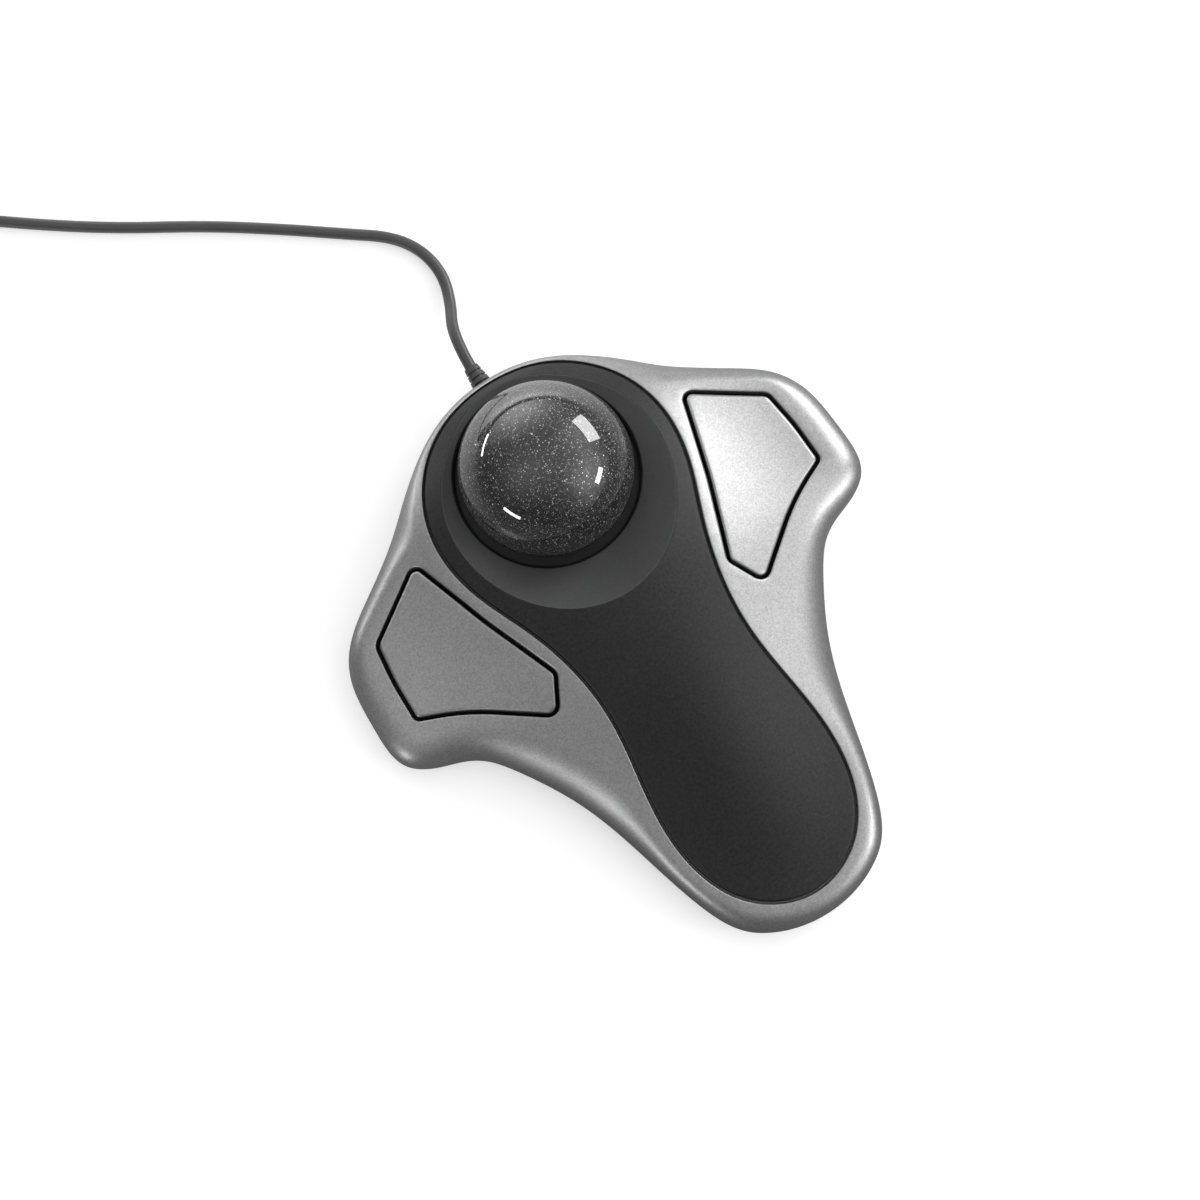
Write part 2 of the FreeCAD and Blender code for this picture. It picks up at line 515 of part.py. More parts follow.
# the cord inside the case, from the strain relief round the cup to its socket
lead, wire, radii = tube([(0, 69.2, CORD_EXIT_Z), (0, 63.6, CORD_EXIT_Z), (12.6, 57.6, 7.6), (18.9, 46.5, 8.4), (18.5, 35.0, 10.0), (18.5, 27.0, 10.0)], 1.1)
write("inner_lead", one(lead, "inner_lead"))

# ---------------------------------------------------------------- strain relief and cord
Y = V(0, 1, 0)
relief = fuse(cyl(2.9, 1.1, V(0, 69.2, CORD_EXIT_Z), Y), cyl(2.35, 2.4, V(0, 70.2, CORD_EXIT_Z), Y),
              cone(2.6, 1.75, 5.9, V(0, 72.6, CORD_EXIT_Z), Y))
for k in range(3):
    y = 73.6 + 1.5 * k
    relief = relief.cut(cyl(4, 0.55, V(0, y, CORD_EXIT_Z), Y).cut(cyl(1.5, 0.55, V(0, y, CORD_EXIT_Z), Y)))
relief = relief.common(Part.makeBox(12, 12, 20, V(-6, 68, 0)))
write("strain_relief", one(relief, "strain_relief"))

cord, wire, radii = tube(CORD, CORD_R)
print("cord radii", [round(r, 1) for r in radii[1:-1]], "length", round(wire.Length, 1), "volume", round(cord.Volume, 1),
      "section x length", round(math.pi * CORD_R ** 2 * wire.Length, 1))
write("cord", one(cord, "cord"))

end = V(*CORD[-1])
d = end - V(*CORD[-2])
d.z = 0
d.normalize()
side = V(d.y, -d.x, 0)
touch = end + d * COIL_STUB
centre = touch + side * COIL_TURN_R
exit_pt = centre + d * COIL_TURN_R
exit_pt.z = PLUG_Z
plug_at = exit_pt + side * PLUG_STUB
print("coil centre", centre, "plug cord end", plug_at, "heading", side)
ring = cyl(COIL_OUT, COIL_H, V(centre.x, centre.y, 0)).cut(cyl(COIL_IN, COIL_H, V(centre.x, centre.y, 0)))
ring = round_edges(ring, 2.6, lambda e: e.Length > 60 and (e.BoundBox.ZMax < 0.01 or e.BoundBox.ZMin > COIL_H - 0.01))
leave = V(exit_pt.x, exit_pt.y, COIL_TOP_Z - 0.2) + side * 4.0
land = exit_pt + side * (PLUG_STUB - 6.0)
coil = fuse(ring, cyl(CORD_R, COIL_STUB, end, d), cyl(CORD_R, (land - leave).Length, leave, land - leave), Part.makeSphere(CORD_R, land),
            cyl(CORD_R, 6.0, land, side))
tie_c = centre - d * ((COIL_IN + COIL_OUT) / 2)
tie = oriented_box(V(tie_c.x, tie_c.y, (COIL_H + 0.6) / 2), d, side, Z, COIL_OUT - COIL_IN + 1.6, 6.0, COIL_H + 0.6)
tie_hole = oriented_box(V(tie_c.x, tie_c.y, COIL_H / 2 - 1), d, side, Z, COIL_OUT - COIL_IN + 0.4, 8.0, COIL_H + 2)
tie = tie.cut(coil).cut(oriented_box(V(tie_c.x, tie_c.y, -3), d, side, Z, 30, 30, 6))
tie = one(tie, "cord_tie")
write("cord_coil", one(coil, "cord_coil"))
write("cord_tie", tie)

# ---------------------------------------------------------------- USB-A plug, lying on the desk
G_LEN, G_W, G_H = 21.0, 15.4, 8.4
grip = oriented_box(plug_at + side * (5 + G_LEN / 2), side, d, Z, G_LEN, G_W, G_H)
grip = round_edges(grip, 2.0, lambda e: abs(e.Length - G_LEN) < 0.1)
grip = round_edges(grip, 0.6, lambda e: e.Length < 16)
neck = cone(2.3, 3.0, 5.4, plug_at, side)
grip = fuse(grip, neck)
tip = plug_at + side * (5 + G_LEN)
shell = oriented_box(tip + side * 5.95, side, d, Z, 11.9, 12.0, 4.5)
shell = round_edges(shell, 0.5, lambda e: abs(e.Length - 11.9) < 0.05)
shell = shell.cut(oriented_box(tip + side * 5.95, side, d, Z, 11.9, 11.4, 3.9))
for s in (1, -1):
    shell = shell.cut(oriented_box(tip + side * 6.0 + d * (s * 2.9) + Z * 2.1, side, d, Z, 2.4, 2.4, 1.4))
tongue = oriented_box(tip + side * 4.9 - Z * 0.95, side, d, Z, 9.8, 11.3, 1.9)
contacts = [oriented_box(tip + side * 5.2 + d * x + Z * 0.06, side, d, Z, 8.0, 1.0, 0.12) for x in (-3.5, -1.0, 1.0, 3.5)]
write("usb_grip", one(grip, "usb_grip"))
write("usb_shell", one(shell, "usb_shell"))
write("usb_tongue", one(tongue, "usb_tongue"))
write("usb_contacts", Part.makeCompound(contacts))
print("plug tip", tip + side * 11.9)
print("switch at", round(sx, 3), round(sy, 3), "hinge", HINGE)
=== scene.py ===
import json
import math

import bmesh
import bpy
import numpy as np
from mathutils import Matrix, Vector
from mathutils.geometry import delaunay_2d_cdt


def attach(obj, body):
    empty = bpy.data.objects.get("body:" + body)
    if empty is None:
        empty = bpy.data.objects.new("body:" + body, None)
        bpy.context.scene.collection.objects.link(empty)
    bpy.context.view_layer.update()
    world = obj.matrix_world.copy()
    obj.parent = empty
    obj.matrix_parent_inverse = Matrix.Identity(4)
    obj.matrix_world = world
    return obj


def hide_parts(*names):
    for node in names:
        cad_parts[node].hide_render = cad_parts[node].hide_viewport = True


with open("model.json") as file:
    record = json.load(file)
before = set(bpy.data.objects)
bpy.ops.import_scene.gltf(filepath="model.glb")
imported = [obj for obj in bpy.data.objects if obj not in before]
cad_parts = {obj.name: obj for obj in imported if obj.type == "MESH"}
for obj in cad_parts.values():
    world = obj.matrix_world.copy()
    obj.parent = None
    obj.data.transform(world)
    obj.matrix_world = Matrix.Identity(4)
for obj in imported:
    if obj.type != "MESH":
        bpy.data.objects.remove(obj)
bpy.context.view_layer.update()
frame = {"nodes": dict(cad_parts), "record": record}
NODES = frame["nodes"]
scene = bpy.context.scene

# ================================================================ camera
RIGHT, UP, BACK = Vector((0.83715, -0.54686, -0.01055)), Vector((0.54197, 0.82673, 0.15089)), Vector((-0.07379, -0.13204, 0.98849))
cam_data = bpy.data.cameras.new("camera")
cam_data.sensor_width = 36.0
cam_data.lens = 82.75
cam_data.clip_start = 0.01
cam = bpy.data.objects.new("camera", cam_data)
m = Matrix((RIGHT, UP, BACK)).transposed().to_4x4()
m.translation = Vector((-0.05172, -0.06795, 0.63560))
cam.matrix_world = m
scene.collection.objects.link(cam)
scene.camera = cam

# ================================================================ shape of the case (millimetres)
BALL = (0.0, 45.2, 26.0)
BALL_R = 20.0
LIP_R, DISH_R, DISH_Z = 21.1, 44.0, 58.0
PART_Z, EDGE_Z = 4.2, 8.0
KEY_GAP, INLAY_GAP = 0.45, 0.3
CREST = [(-82.0, 8.2), (-77.65, 8.6), (-66.05, 10.4), (-53.05, 14.4), (-43.05, 17.6), (-23.05, 23.6), (1.95, 29.0), (16.95, 31.0),
         (30.35, 31.5), (43.95, 30.5), (56.95, 27.0), (64.95, 23.0), (68.55, 20.5), (71.95, 16.6), (76.35, 11.0), (82.0, 4.0)]
WIDTH = [(-82.0, 24.0), (-77.65, 24.0), (-43.05, 25.0), (-19.05, 30.0), (-1.05, 37.5), (8.35, 40.5), (18.35, 41.0), (36.35, 41.0),
         (46.35, 39.0), (56.95, 34.0), (64.95, 28.0), (76.35, 23.0), (82.0, 21.0)]
OUTLINE = [(0.00, -72.44), (4.79, -72.06), (9.46, -70.92), (13.87, -69.01), (17.82, -66.28), (20.84, -62.56), (22.96, -58.24),
           (24.59, -53.72), (25.97, -49.11), (27.22, -44.46), (28.40, -39.79), (29.60, -35.14), (30.90, -30.50), (32.39, -25.92),
           (34.12, -21.44), (36.15, -17.07), (38.43, -12.84), (40.90, -8.71), (43.55, -4.69), (46.63, -1.01), (50.61, 1.66),
           (55.11, 3.36), (59.49, 5.32), (63.04, 8.52), (64.48, 13.05), (64.58, 17.86), (64.37, 22.66), (63.94, 27.45),
           (62.90, 32.14), (60.81, 36.46), (57.70, 40.11), (53.93, 43.09), (49.88, 45.69), (45.79, 48.22), (41.79, 50.90),
           (37.94, 53.78), (34.19, 56.80), (30.45, 59.83), (26.63, 62.76), (22.65, 65.46), (18.47, 67.83), (14.08, 69.80),
           (9.51, 71.30), (4.80, 72.20), (0.00, 72.44)]
INLAY = [(0.00, -66.66), (4.89, -65.97), (9.45, -64.06), (13.45, -61.14), (16.66, -57.38), (19.00, -53.02), (20.51, -48.31),
         (21.35, -43.43), (21.62, -38.48), (21.44, -33.53), (20.91, -28.60), (20.18, -23.70), (19.42, -18.80), (18.81, -13.89),
         (18.52, -8.94), (18.63, -3.99), (19.17, 0.94), (20.08, 5.81), (21.31, 10.61), (22.84, 15.32), (24.61, 19.95),
         (26.47, 24.54), (28.15, 29.21), (29.42, 33.99), (30.12, 38.90), (30.14, 43.85), (29.36, 48.74), (27.77, 53.43),
         (25.43, 57.78), (22.37, 61.68), (18.67, 64.96), (14.41, 67.49), (9.78, 69.25), (4.94, 70.28), (0.00, 70.61)]
KEY = [((23.3, 5.55), 2.0), ((27.9, -2.55), 2.2), ((44.6, 10.4), 60.0), ((55.2, 15.25), 1.6), ((54.9, 25.2), 60.0),
       ((53.6, 34.45), 2.6), ((36.6, 44.85), 2.0), ((30.1, 23.9), 90.0)]


def natural_spline(points):
    xs, ys = np.array([p[0] for p in points]), np.array([p[1] for p in points])
    n, h = len(xs), np.diff(xs)
    A, d = np.eye(n), np.zeros(n)
    for i in range(1, n - 1):
        A[i, i - 1], A[i, i], A[i, i + 1] = h[i - 1], 2 * (h[i - 1] + h[i]), h[i]
        d[i] = 6 * ((ys[i + 1] - ys[i]) / h[i] - (ys[i] - ys[i - 1]) / h[i - 1])
    s = np.linalg.solve(A, d)

    def f(x):
        x = np.clip(np.asarray(x, float), xs[0], xs[-1])
        i = np.clip(np.searchsorted(xs, x) - 1, 0, n - 2)
        t, u, k = x - xs[i], xs[i + 1] - x, h[i]
        return (s[i] * u ** 3 + s[i + 1] * t ** 3) / (6 * k) + (ys[i] / k - s[i] * k / 6) * u + (ys[i + 1] / k - s[i + 1] * k / 6) * t
    return f


crest, width = natural_spline(CREST), natural_spline(WIDTH)


def top_z(p):
    return EDGE_Z + (crest(p[:, 1]) - EDGE_Z) * np.exp(-(p[:, 0] / width(p[:, 1])) ** 2)


def dish_z(p):
    r2 = p[:, 0] ** 2 + (p[:, 1] - BALL[1]) ** 2
    return DISH_Z - np.sqrt(np.maximum(DISH_R ** 2 - r2, 1.0))


def closed(half):
    return np.array(list(half) + [(-x, y) for x, y in reversed(half[1:-1])], float)


def smooth_loop(points, count):
    """A closed curve through the points with continuous curvature, as count points at even spacing."""
    n = len(points)
    h = np.linalg.norm(np.roll(points, -1, 0) - points, axis=1)
    A, d = np.zeros((n, n)), np.zeros((n, 2))
    for i in range(n):
        a, b = h[i - 1], h[i]
        A[i, i - 1] += a
        A[i, i] += 2 * (a + b)
        A[i, (i + 1) % n] += b
        d[i] = 6 * ((points[(i + 1) % n] - points[i]) / b - (points[i] - points[i - 1]) / a)
    s = np.linalg.solve(A, d)
    fine = []
    for i in range(n):
        t = np.linspace(0, 1, 40, endpoint=False)[:, None] * h[i]
        u, j, k = h[i] - t, (i + 1) % n, h[i]
        fine.append((s[i] * u ** 3 + s[j] * t ** 3) / (6 * k) + (points[i] / k - s[i] * k / 6) * u + (points[j] / k - s[j] * k / 6) * t)
    fine = np.concatenate(fine)
    fine = np.concatenate([fine, fine[:1]])
    run = np.concatenate([[0], np.cumsum(np.linalg.norm(np.diff(fine, axis=0), axis=1))])
    at = np.linspace(0, run[-1], count, endpoint=False)
    return np.stack([np.interp(at, run, fine[:, 0]), np.interp(at, run, fine[:, 1])], 1)


def normals(P):
    t = np.roll(P, -1, 0) - np.roll(P, 1, 0)
    t /= np.linalg.norm(t, axis=1)[:, None]
    return np.stack([t[:, 1], -t[:, 0]], 1)


def moved(P, d):
    """The loop moved outwards by d, one number or one for each point."""
    return P + normals(P) * (np.asarray(d, float).reshape(-1, 1) if np.ndim(d) else d)


def distance(P, Q):
    """Distance from each point of P to the closed polyline Q."""
    a, b = Q, np.roll(Q, -1, 0)
    out = np.full(len(P), 1e9)
    ab = b - a
    l2 = (ab ** 2).sum(1)
    for k in range(0, len(P), 400):
        p = P[k:k + 400, None]
        t = np.clip(((p - a) * ab).sum(2) / l2, 0, 1)
        out[k:k + 400] = np.sqrt(((p - a - t[..., None] * ab) ** 2).sum(2)).min(1)
    return out


def inside(P, Q):
    a, b = Q, np.roll(Q, -1, 0)
    out = np.zeros(len(P), bool)
    for k in range(0, len(P), 400):
        p = P[k:k + 400, None]
        up = (a[:, 1] > p[..., 1]) != (b[:, 1] > p[..., 1])
        dy = np.where(b[:, 1] == a[:, 1], 1.0, b[:, 1] - a[:, 1])
        x = a[:, 0] + (p[..., 1] - a[:, 1]) / dy * (b[:, 0] - a[:, 0])
        out[k:k + 400] = (up & (p[..., 0] < x)).sum(1) % 2 == 1
    return out


def averaged(v, n):
    for _ in range(n):
        v = (np.roll(v, 1) + v + np.roll(v, -1)) / 3
    return v


def key_loop(d, side=1, step=0.8):
    """The button's outline moved outwards by d. The number of points is the same for any d."""
    corners = []
    n = len(KEY)
    P = [np.array(c[0]) for c in KEY]
    lines = []
    for i in range(n):
        t = P[(i + 1) % n] - P[i]
        t = t / np.linalg.norm(t)
        lines.append((P[i] + np.array([t[1], -t[0]]) * d, t))
    out = []
    cross = lambda a, b: a[0] * b[1] - a[1] * b[0]
    for i in range(n):
        (p, t), (q, s) = lines[i - 1], lines[i]
        c = cross(t, s)
        corners.append((p + t * (cross(q - p, s) / c), max(KEY[i][1] + (d if c > 0 else -d), 0.4)))
    arcs = []
    for i in range(n):
        (p, r), a, b = corners[i], corners[i - 1][0], corners[(i + 1) % n][0]
        u, w = (a - p) / np.linalg.norm(a - p), (b - p) / np.linalg.norm(b - p)
        half = math.acos(max(-1, min(1, float(u @ w)))) / 2
        cut = r / math.tan(half)
        mid = (u + w) / np.linalg.norm(u + w)
        centre = p + mid * r / math.sin(half)
        s0, s1 = p + u * cut - centre, p + w * cut - centre
        a0, a1 = math.atan2(s0[1], s0[0]), math.atan2(s1[1], s1[0])
        turn = (a1 - a0 + math.pi) % (2 * math.pi) - math.pi
        base = KEY[i][1]
        k = max(8, int(base * abs(turn) / step))
        ang = a0 + turn * np.linspace(0, 1, k + 1)
        arcs.append(centre + r * np.stack([np.cos(ang), np.sin(ang)], 1))
    for i in range(n):
        out.append(arcs[i])
        j = (i + 1) % n
        k = max(2, int(np.linalg.norm(P[j] - P[i]) * 0.7 / step))
        f = np.linspace(0, 1, k + 2)[1:-1, None]
        out.append(arcs[i][-1] * (1 - f) + arcs[j][0] * f)
    loop = np.concatenate(out)
    if side < 0:
        loop = (loop * np.array([-1, 1]))[::-1]
    return loop


# ================================================================ mesh building
class Shape:
    """A closed mesh put together from loops, strips between loops and flat patches. Millimetres."""

    def __init__(self):
        self.v, self.f, self.n = [], [], 0
        self.mark = {}

    def add(self, xy, z):
        z = np.broadcast_to(np.asarray(z, float), (len(xy),))
        self.v.append(np.column_stack([xy, z]))
        self.n += len(xy)
        return np.arange(self.n - len(xy), self.n)

    def strip(self, a, b):
        """Quads from loop a to loop b. Seen from outside, a is below b when the loops run anticlockwise."""
        a2, b2 = np.roll(a, -1), np.roll(b, -1)
        self.f += np.column_stack([a, a2, b2, b]).tolist()

    def strips(self, *loops):
        for a, b in zip(loops, loops[1:]):
            self.strip(a, b)

    def patch(self, tris, index, flip=False):
        t = index[tris]
        self.f += (t[:, ::-1] if flip else t).tolist()

    def build(self, name, sharp=38.0):
        mesh = bpy.data.meshes.new(name)
        mesh.from_pydata((np.concatenate(self.v) * 0.001).tolist(), [], self.f)
        mesh.validate()
        mesh.update()
        mesh.shade_smooth()
        mesh.set_sharp_from_angle(angle=math.radians(sharp))
        for label, index in self.mark.items():
            values = np.zeros(self.n, np.float32)
            values[index] = 1.0
            mesh.attributes.new(label, "FLOAT", "POINT").data.foreach_set("value", values)
        o = bpy.data.objects.new(name, mesh)
        scene.collection.objects.link(o)
        return o


def patch_of(outer, holes, step, clear=0.5, extra=None):
    """Triangles that fill outer less holes. Returns (points, triangles); the first points are the loops, in order."""
    true_loops = [outer] + list(holes)
    # no three points of a loop in line while the triangles are found, or slivers stand up on its straight runs
    loops = [q + normals(q) * (0.02 * (np.arange(len(q)) * 0.618034 % 1.0))[:, None] for q in true_loops]
    outer, holes = loops[0], loops[1:]
    low, high = outer.min(0), outer.max(0)
    rows = []
    y, odd = low[1], 0
    while y < high[1]:
        xs = np.arange(low[0] + (step / 2 if odd else 0), high[0], step)
        rows.append(np.column_stack([xs, np.full(len(xs), y)]))
        y += step * 0.866
        odd = 1 - odd
    grid = np.concatenate(rows)
    keep = inside(grid, outer)
    for h in holes:
        keep &= ~inside(grid, h)
    grid = grid[keep]
    near = np.full(len(grid), 1e9)
    for q in loops:
        near = np.minimum(near, distance(grid, q))
    grid = grid[near > clear]
    pts = np.concatenate(loops + [grid])
    edges, start = [], 0
    for q in loops:
        i = np.arange(len(q))
        edges += np.column_stack([i + start, np.roll(i, -1) + start]).tolist()
        start += len(q)
    res = delaunay_2d_cdt([Vector(p) for p in pts], edges, [], 0, 1e-6)
    co = np.array([tuple(p) for p in res[0]])
    origin = res[3]
    assert len(co) == len(pts), (len(co), len(pts))
    order = np.array([o[0] for o in origin])
    tris = order[np.array([list(f) for f in res[2]])]
    c = pts[tris].mean(1)
    keep = inside(c, outer)
    for h in holes:
        keep &= ~inside(c, h)
    tris = tris[keep]
    a, b, d = pts[tris[:, 0]], pts[tris[:, 1]], pts[tris[:, 2]]
    area = (b[:, 0] - a[:, 0]) * (d[:, 1] - a[:, 1]) - (b[:, 1] - a[:, 1]) * (d[:, 0] - a[:, 0])
    tris[area < 0] = tris[area < 0][:, ::-1]
    return np.concatenate(true_loops + [grid]), tris


OUT = smooth_loop(closed(OUTLINE), 640)
INL = smooth_loop(closed(INLAY), 560)
KEYS = {"right": key_loop(0, 1), "left": key_loop(0, -1)}
QUARTER = np.radians(np.linspace(0, 90, 9))
BEVEL = np.radians(np.linspace(0, 90, 15))
BEVEL_POWER = 2.0


def build_top_case():
    s = Shape()
    room = np.minimum(distance(OUT, moved(INL, INLAY_GAP)), 60)
    for k in ("right", "left"):
        room = np.minimum(room, distance(OUT, key_loop(KEY_GAP + 0.6, 1 if k == "right" else -1)))
    R = averaged(np.minimum(8.5, 0.6 * room + 0.26 * np.maximum(0.0, room - 3.5)), 12)
    draft = 0.3 * np.minimum(1.0, R / 2.0)
    edge = moved(OUT, -draft)
    H = averaged(np.minimum(np.minimum(6.0, 0.3 + 1.0 * R), 0.80 * (top_z(edge) - PART_Z)), 12)
    outer = []
    for a in BEVEL:
        p = moved(OUT, -(draft + (R - draft) * (1 - max(math.cos(a), 0.0) ** (2 / BEVEL_POWER))))
        outer.append((s.add(p, top_z(p) - H * (1 - math.sin(a) ** (2 / BEVEL_POWER))), p))
    z0 = s.v[0][:, 2]
    w3 = s.add(moved(OUT, -0.28), PART_Z)
    w2 = s.add(moved(OUT, -0.02), PART_Z + 0.28)
    w1 = s.add(moved(OUT, -draft * 0.5), (PART_Z + 0.28 + z0) / 2)
    s.strips(w3, w2, w1, *[q[0] for q in outer])
    # holes
    holes = []
    gap = INLAY_GAP
    room_in = np.maximum(distance(INL, OUT) - gap, 0.4)
    lip = averaged(np.minimum(0.45, 0.25 * room_in), 6)
    rings = []
    for a in QUARTER[::2]:
        p = moved(INL, gap + lip * (1 - math.cos(a)))
        rings.append((s.add(p, top_z(p) - lip * (1 - math.sin(a))), p))
    s.strips(*[q[0] for q in rings[::-1]])
    under_step = [(gap, 2.6), (-2.0, 2.6), (-2.0, 4.2)]
    chain = [rings[0][0]]
    for d, k in under_step:
        p = moved(INL, d)
        chain.append(s.add(p, top_z(p) - k))
    chain.append(s.add(rings[-1][1], top_z(rings[-1][1]) - 4.2))
    s.strips(*chain)
    holes.append((rings[-1][1], rings[-1][0], chain[-1]))
    for side in (1, -1):
        rings = []
        for a in QUARTER[::2]:
            p = key_loop(KEY_GAP + 0.5 * (1 - math.cos(a)), side)
            rings.append((s.add(p, top_z(p) - 0.5 * (1 - math.sin(a))), p))
        s.strips(*[q[0] for q in rings[::-1]])
        p = key_loop(KEY_GAP, side)
        low = s.add(p, top_z(p) - 3.4)
        q = rings[-1][1]
        low2 = s.add(q, top_z(q) - 3.4)
        s.strips(rings[0][0], low, low2)
        holes.append((q, rings[-1][0], low2))
    pts, tris = patch_of(outer[-1][1], [h[0] for h in holes], 1.5)
    start = len(outer[-1][1])
    n_loops = start + sum(len(h[0]) for h in holes)
    grid = s.add(pts[n_loops:], top_z(pts[n_loops:]))
    index = np.concatenate([outer[-1][0]] + [h[1] for h in holes] + [grid])
    s.patch(tris, index)
    # underside
    k = 2.2
    under_outer = s.add(outer[-1][1], top_z(outer[-1][1]) - k)
    under_holes = [s.add(h[0], top_z(h[0]) - k) for h in holes]
    under_grid = s.add(pts[n_loops:], top_z(pts[n_loops:]) - k)
    s.patch(tris, np.concatenate([under_outer] + under_holes + [under_grid]), flip=True)
    for h, u in zip(holes, under_holes):
        s.strip(h[2], u)
    dI = np.minimum(2.0, R)
    p = moved(OUT, -dI)
    f = 1 - dI / R
    band = np.maximum(1 - np.maximum(f, 0) ** BEVEL_POWER, 0) ** (1 / BEVEL_POWER)
    zB = np.minimum(top_z(p) - H * (1 - band) - 1.6, top_z(p) - k - 0.05)
    zB = np.maximum(zB, PART_Z + 0.3)
    i1 = s.add(p, zB)
    i2 = s.add(p, PART_Z)
    s.strips(under_outer, i1, i2, w3)
    return s.build("upper_shell")


def rim_radius(theta):
    lo, hi = np.full(len(theta), LIP_R + 0.3), np.full(len(theta), 40.0)
    for _ in range(50):
        mid = (lo + hi) / 2
        p = np.column_stack([mid * np.cos(theta), BALL[1] + mid * np.sin(theta)])
        above = dish_z(p) < top_z(p)
        lo, hi = np.where(above, mid, lo), np.where(above, hi, mid)
    return (lo + hi) / 2


def soft_min(a, b, k):
    h = np.clip(0.5 + 0.5 * (b - a) / k, 0, 1)
    return b * (1 - h) + a * h - k * h * (1 - h)


def inlay_z(p):
    return soft_min(top_z(p), dish_z(p), 0.22)


def build_inlay():
    s = Shape()
    lip = 0.5
    outer = []
    for a in QUARTER:
        p = moved(INL, -(INLAY_GAP + lip * (1 - math.cos(a))))
        outer.append((s.add(p, top_z(p) - lip * (1 - math.sin(a))), p))
    p = moved(INL, -INLAY_GAP)
    wall = s.add(p, top_z(p) - 2.5)
    s.strips(wall, *[q[0] for q in outer])
    theta = np.radians(np.arange(0, 360, 0.9))
    rho = rim_radius(theta)
    at = lambda r: np.column_stack([r * np.cos(theta), BALL[1] + r * np.sin(theta)])
    room_out = distance(at(rho), outer[-1][1])
    so, si = np.minimum(1, room_out / 2.6), np.minimum(1, (rho - LIP_R - 0.9) / 2.4)
    rim_out = [at(rho + so * d) for d in (1.8, 1.0, 0.6, 0.35, 0.18, 0.06)]
    rim_in = [at(rho - si * d) for d in (0.06, 0.18, 0.35, 0.6, 1.0, 1.7)]
    inner_r = LIP_R + 0.8
    last = rho - si * 1.7
    bowl = [at(inner_r + (last - inner_r) * f) for f in np.linspace(1, 0, 11)[1:]]
    loops = rim_out + rim_in + bowl
    ids = [s.add(q, inlay_z(q)) for q in loops]
    s.strips(*ids)
    # the dish's points are marked so the charcoal material can paint them lighter: painted light standing in for the
    # light that falls into the dish
    s.mark["dish"] = np.concatenate(ids[len(rim_out):])
    # lip of the round opening
    z_in = float(dish_z(at(np.full(len(theta), inner_r)))[0])
    slope = inner_r / math.sqrt(DISH_R ** 2 - inner_r ** 2)
    prev = ids[-1]
    for a in np.radians(np.linspace(75, 0, 6)):
        r = LIP_R + 0.8 * (1 - math.cos(a))
        z = z_in - slope * (inner_r - r) - 0.55 * (1 - math.sin(a))
        cur = s.add(at(np.full(len(theta), r)), z)
        s.strip(prev, cur)
        prev = cur
    low = s.add(at(np.full(len(theta), LIP_R)), 16.7)
    low2 = s.add(at(np.full(len(theta), inner_r)), 16.5)
    s.strips(prev, low, low2)
    # palm pad and the band round the dish
    pts, tris = patch_of(outer[-1][1], [rim_out[0]], 1.5, clear=0.45)
    n_loops = len(outer[-1][1]) + len(theta)
    grid = s.add(pts[n_loops:], inlay_z(pts[n_loops:]))
    s.patch(tris, np.concatenate([outer[-1][0], ids[0], grid]))
    # underside
    k = 2.5
    uo = s.add(outer[-1][1], top_z(outer[-1][1]) - k)
    ug = s.add(pts[n_loops:], inlay_z(pts[n_loops:]) - k)
    ul = [s.add(q, np.minimum(inlay_z(q) - k, inlay_z(q) - 0.5)) for q in loops[:-1]]
    s.patch(tris, np.concatenate([uo, ul[0], ug]), flip=True)
    s.strips(low2, *ul[::-1])
    s.strip(uo, wall)
    return s.build("palm_inlay")


def build_key(side):
    s = Shape()
    e, base = 0.75, -KEY_GAP
    rings = []
    for a in QUARTER:
        p = key_loop(base - e * (1 - math.cos(a)), side)
        rings.append((s.add(p, top_z(p) - 0.05 - 0.62 * (1 - math.sin(a))), p))
    p = key_loop(base - 1.6, side)
    flat = s.add(p, top_z(p) - 0.05)
    q = key_loop(base, side)
    w = s.add(q, top_z(q) - 4.3)
    w2 = s.add(p, top_z(p) - 4.3)
    s.strips(w2, w, *[r[0] for r in rings], flat)
    pts, tris = patch_of(p, [], 1.4)
    g = s.add(pts[len(p):], top_z(pts[len(p):]) - 0.05)
    s.patch(tris, np.concatenate([flat, g]))
    u = s.add(p, top_z(p) - 2.0)
    ug = s.add(pts[len(p):], top_z(pts[len(p):]) - 2.0)
    s.patch(tris, np.concatenate([u, ug]), flip=True)
    s.strip(u, w2)
    return s.build(("right" if side > 0 else "left") + "_key")


def build_ball():
    """A sphere of six curved square faces, so that its flecks have no pole."""
    n = 48
    v, f, seen = [], [], {}

    def vid(p):
        k = tuple(round(c, 6) for c in p)
        if k not in seen:
            seen[k] = len(v)
            v.append(p)
        return seen[k]
    g = np.tan(np.linspace(-math.pi / 4, math.pi / 4, n + 1))
    for ax in range(3):
        for sg in (1, -1):
            ids = [[0] * (n + 1) for _ in range(n + 1)]
            for i in range(n + 1):
                for j in range(n + 1):
                    c = [0.0, 0.0, 0.0]
                    c[ax], c[(ax + 1) % 3], c[(ax + 2) % 3] = sg, g[i] * sg, g[j]
                    c = np.array(c)
                    c = c / np.linalg.norm(c)
                    ids[i][j] = vid(c)
            for i in range(n):
                for j in range(n):
                    f.append([ids[i][j], ids[i + 1][j], ids[i + 1][j + 1], ids[i][j + 1]])
    pts = np.array(v) * BALL_R + np.array(BALL)
    mesh = bpy.data.meshes.new("ball")
    mesh.from_pydata((pts * 0.001).tolist(), [], f)
    mesh.validate()
    mesh.update()
    mesh.shade_smooth()
    o = bpy.data.objects.new("ball", mesh)
    scene.collection.objects.link(o)
    return o


shell = build_top_case()
inlay = build_inlay()
keys = {"right": build_key(1), "left": build_key(-1)}
ball = build_ball()

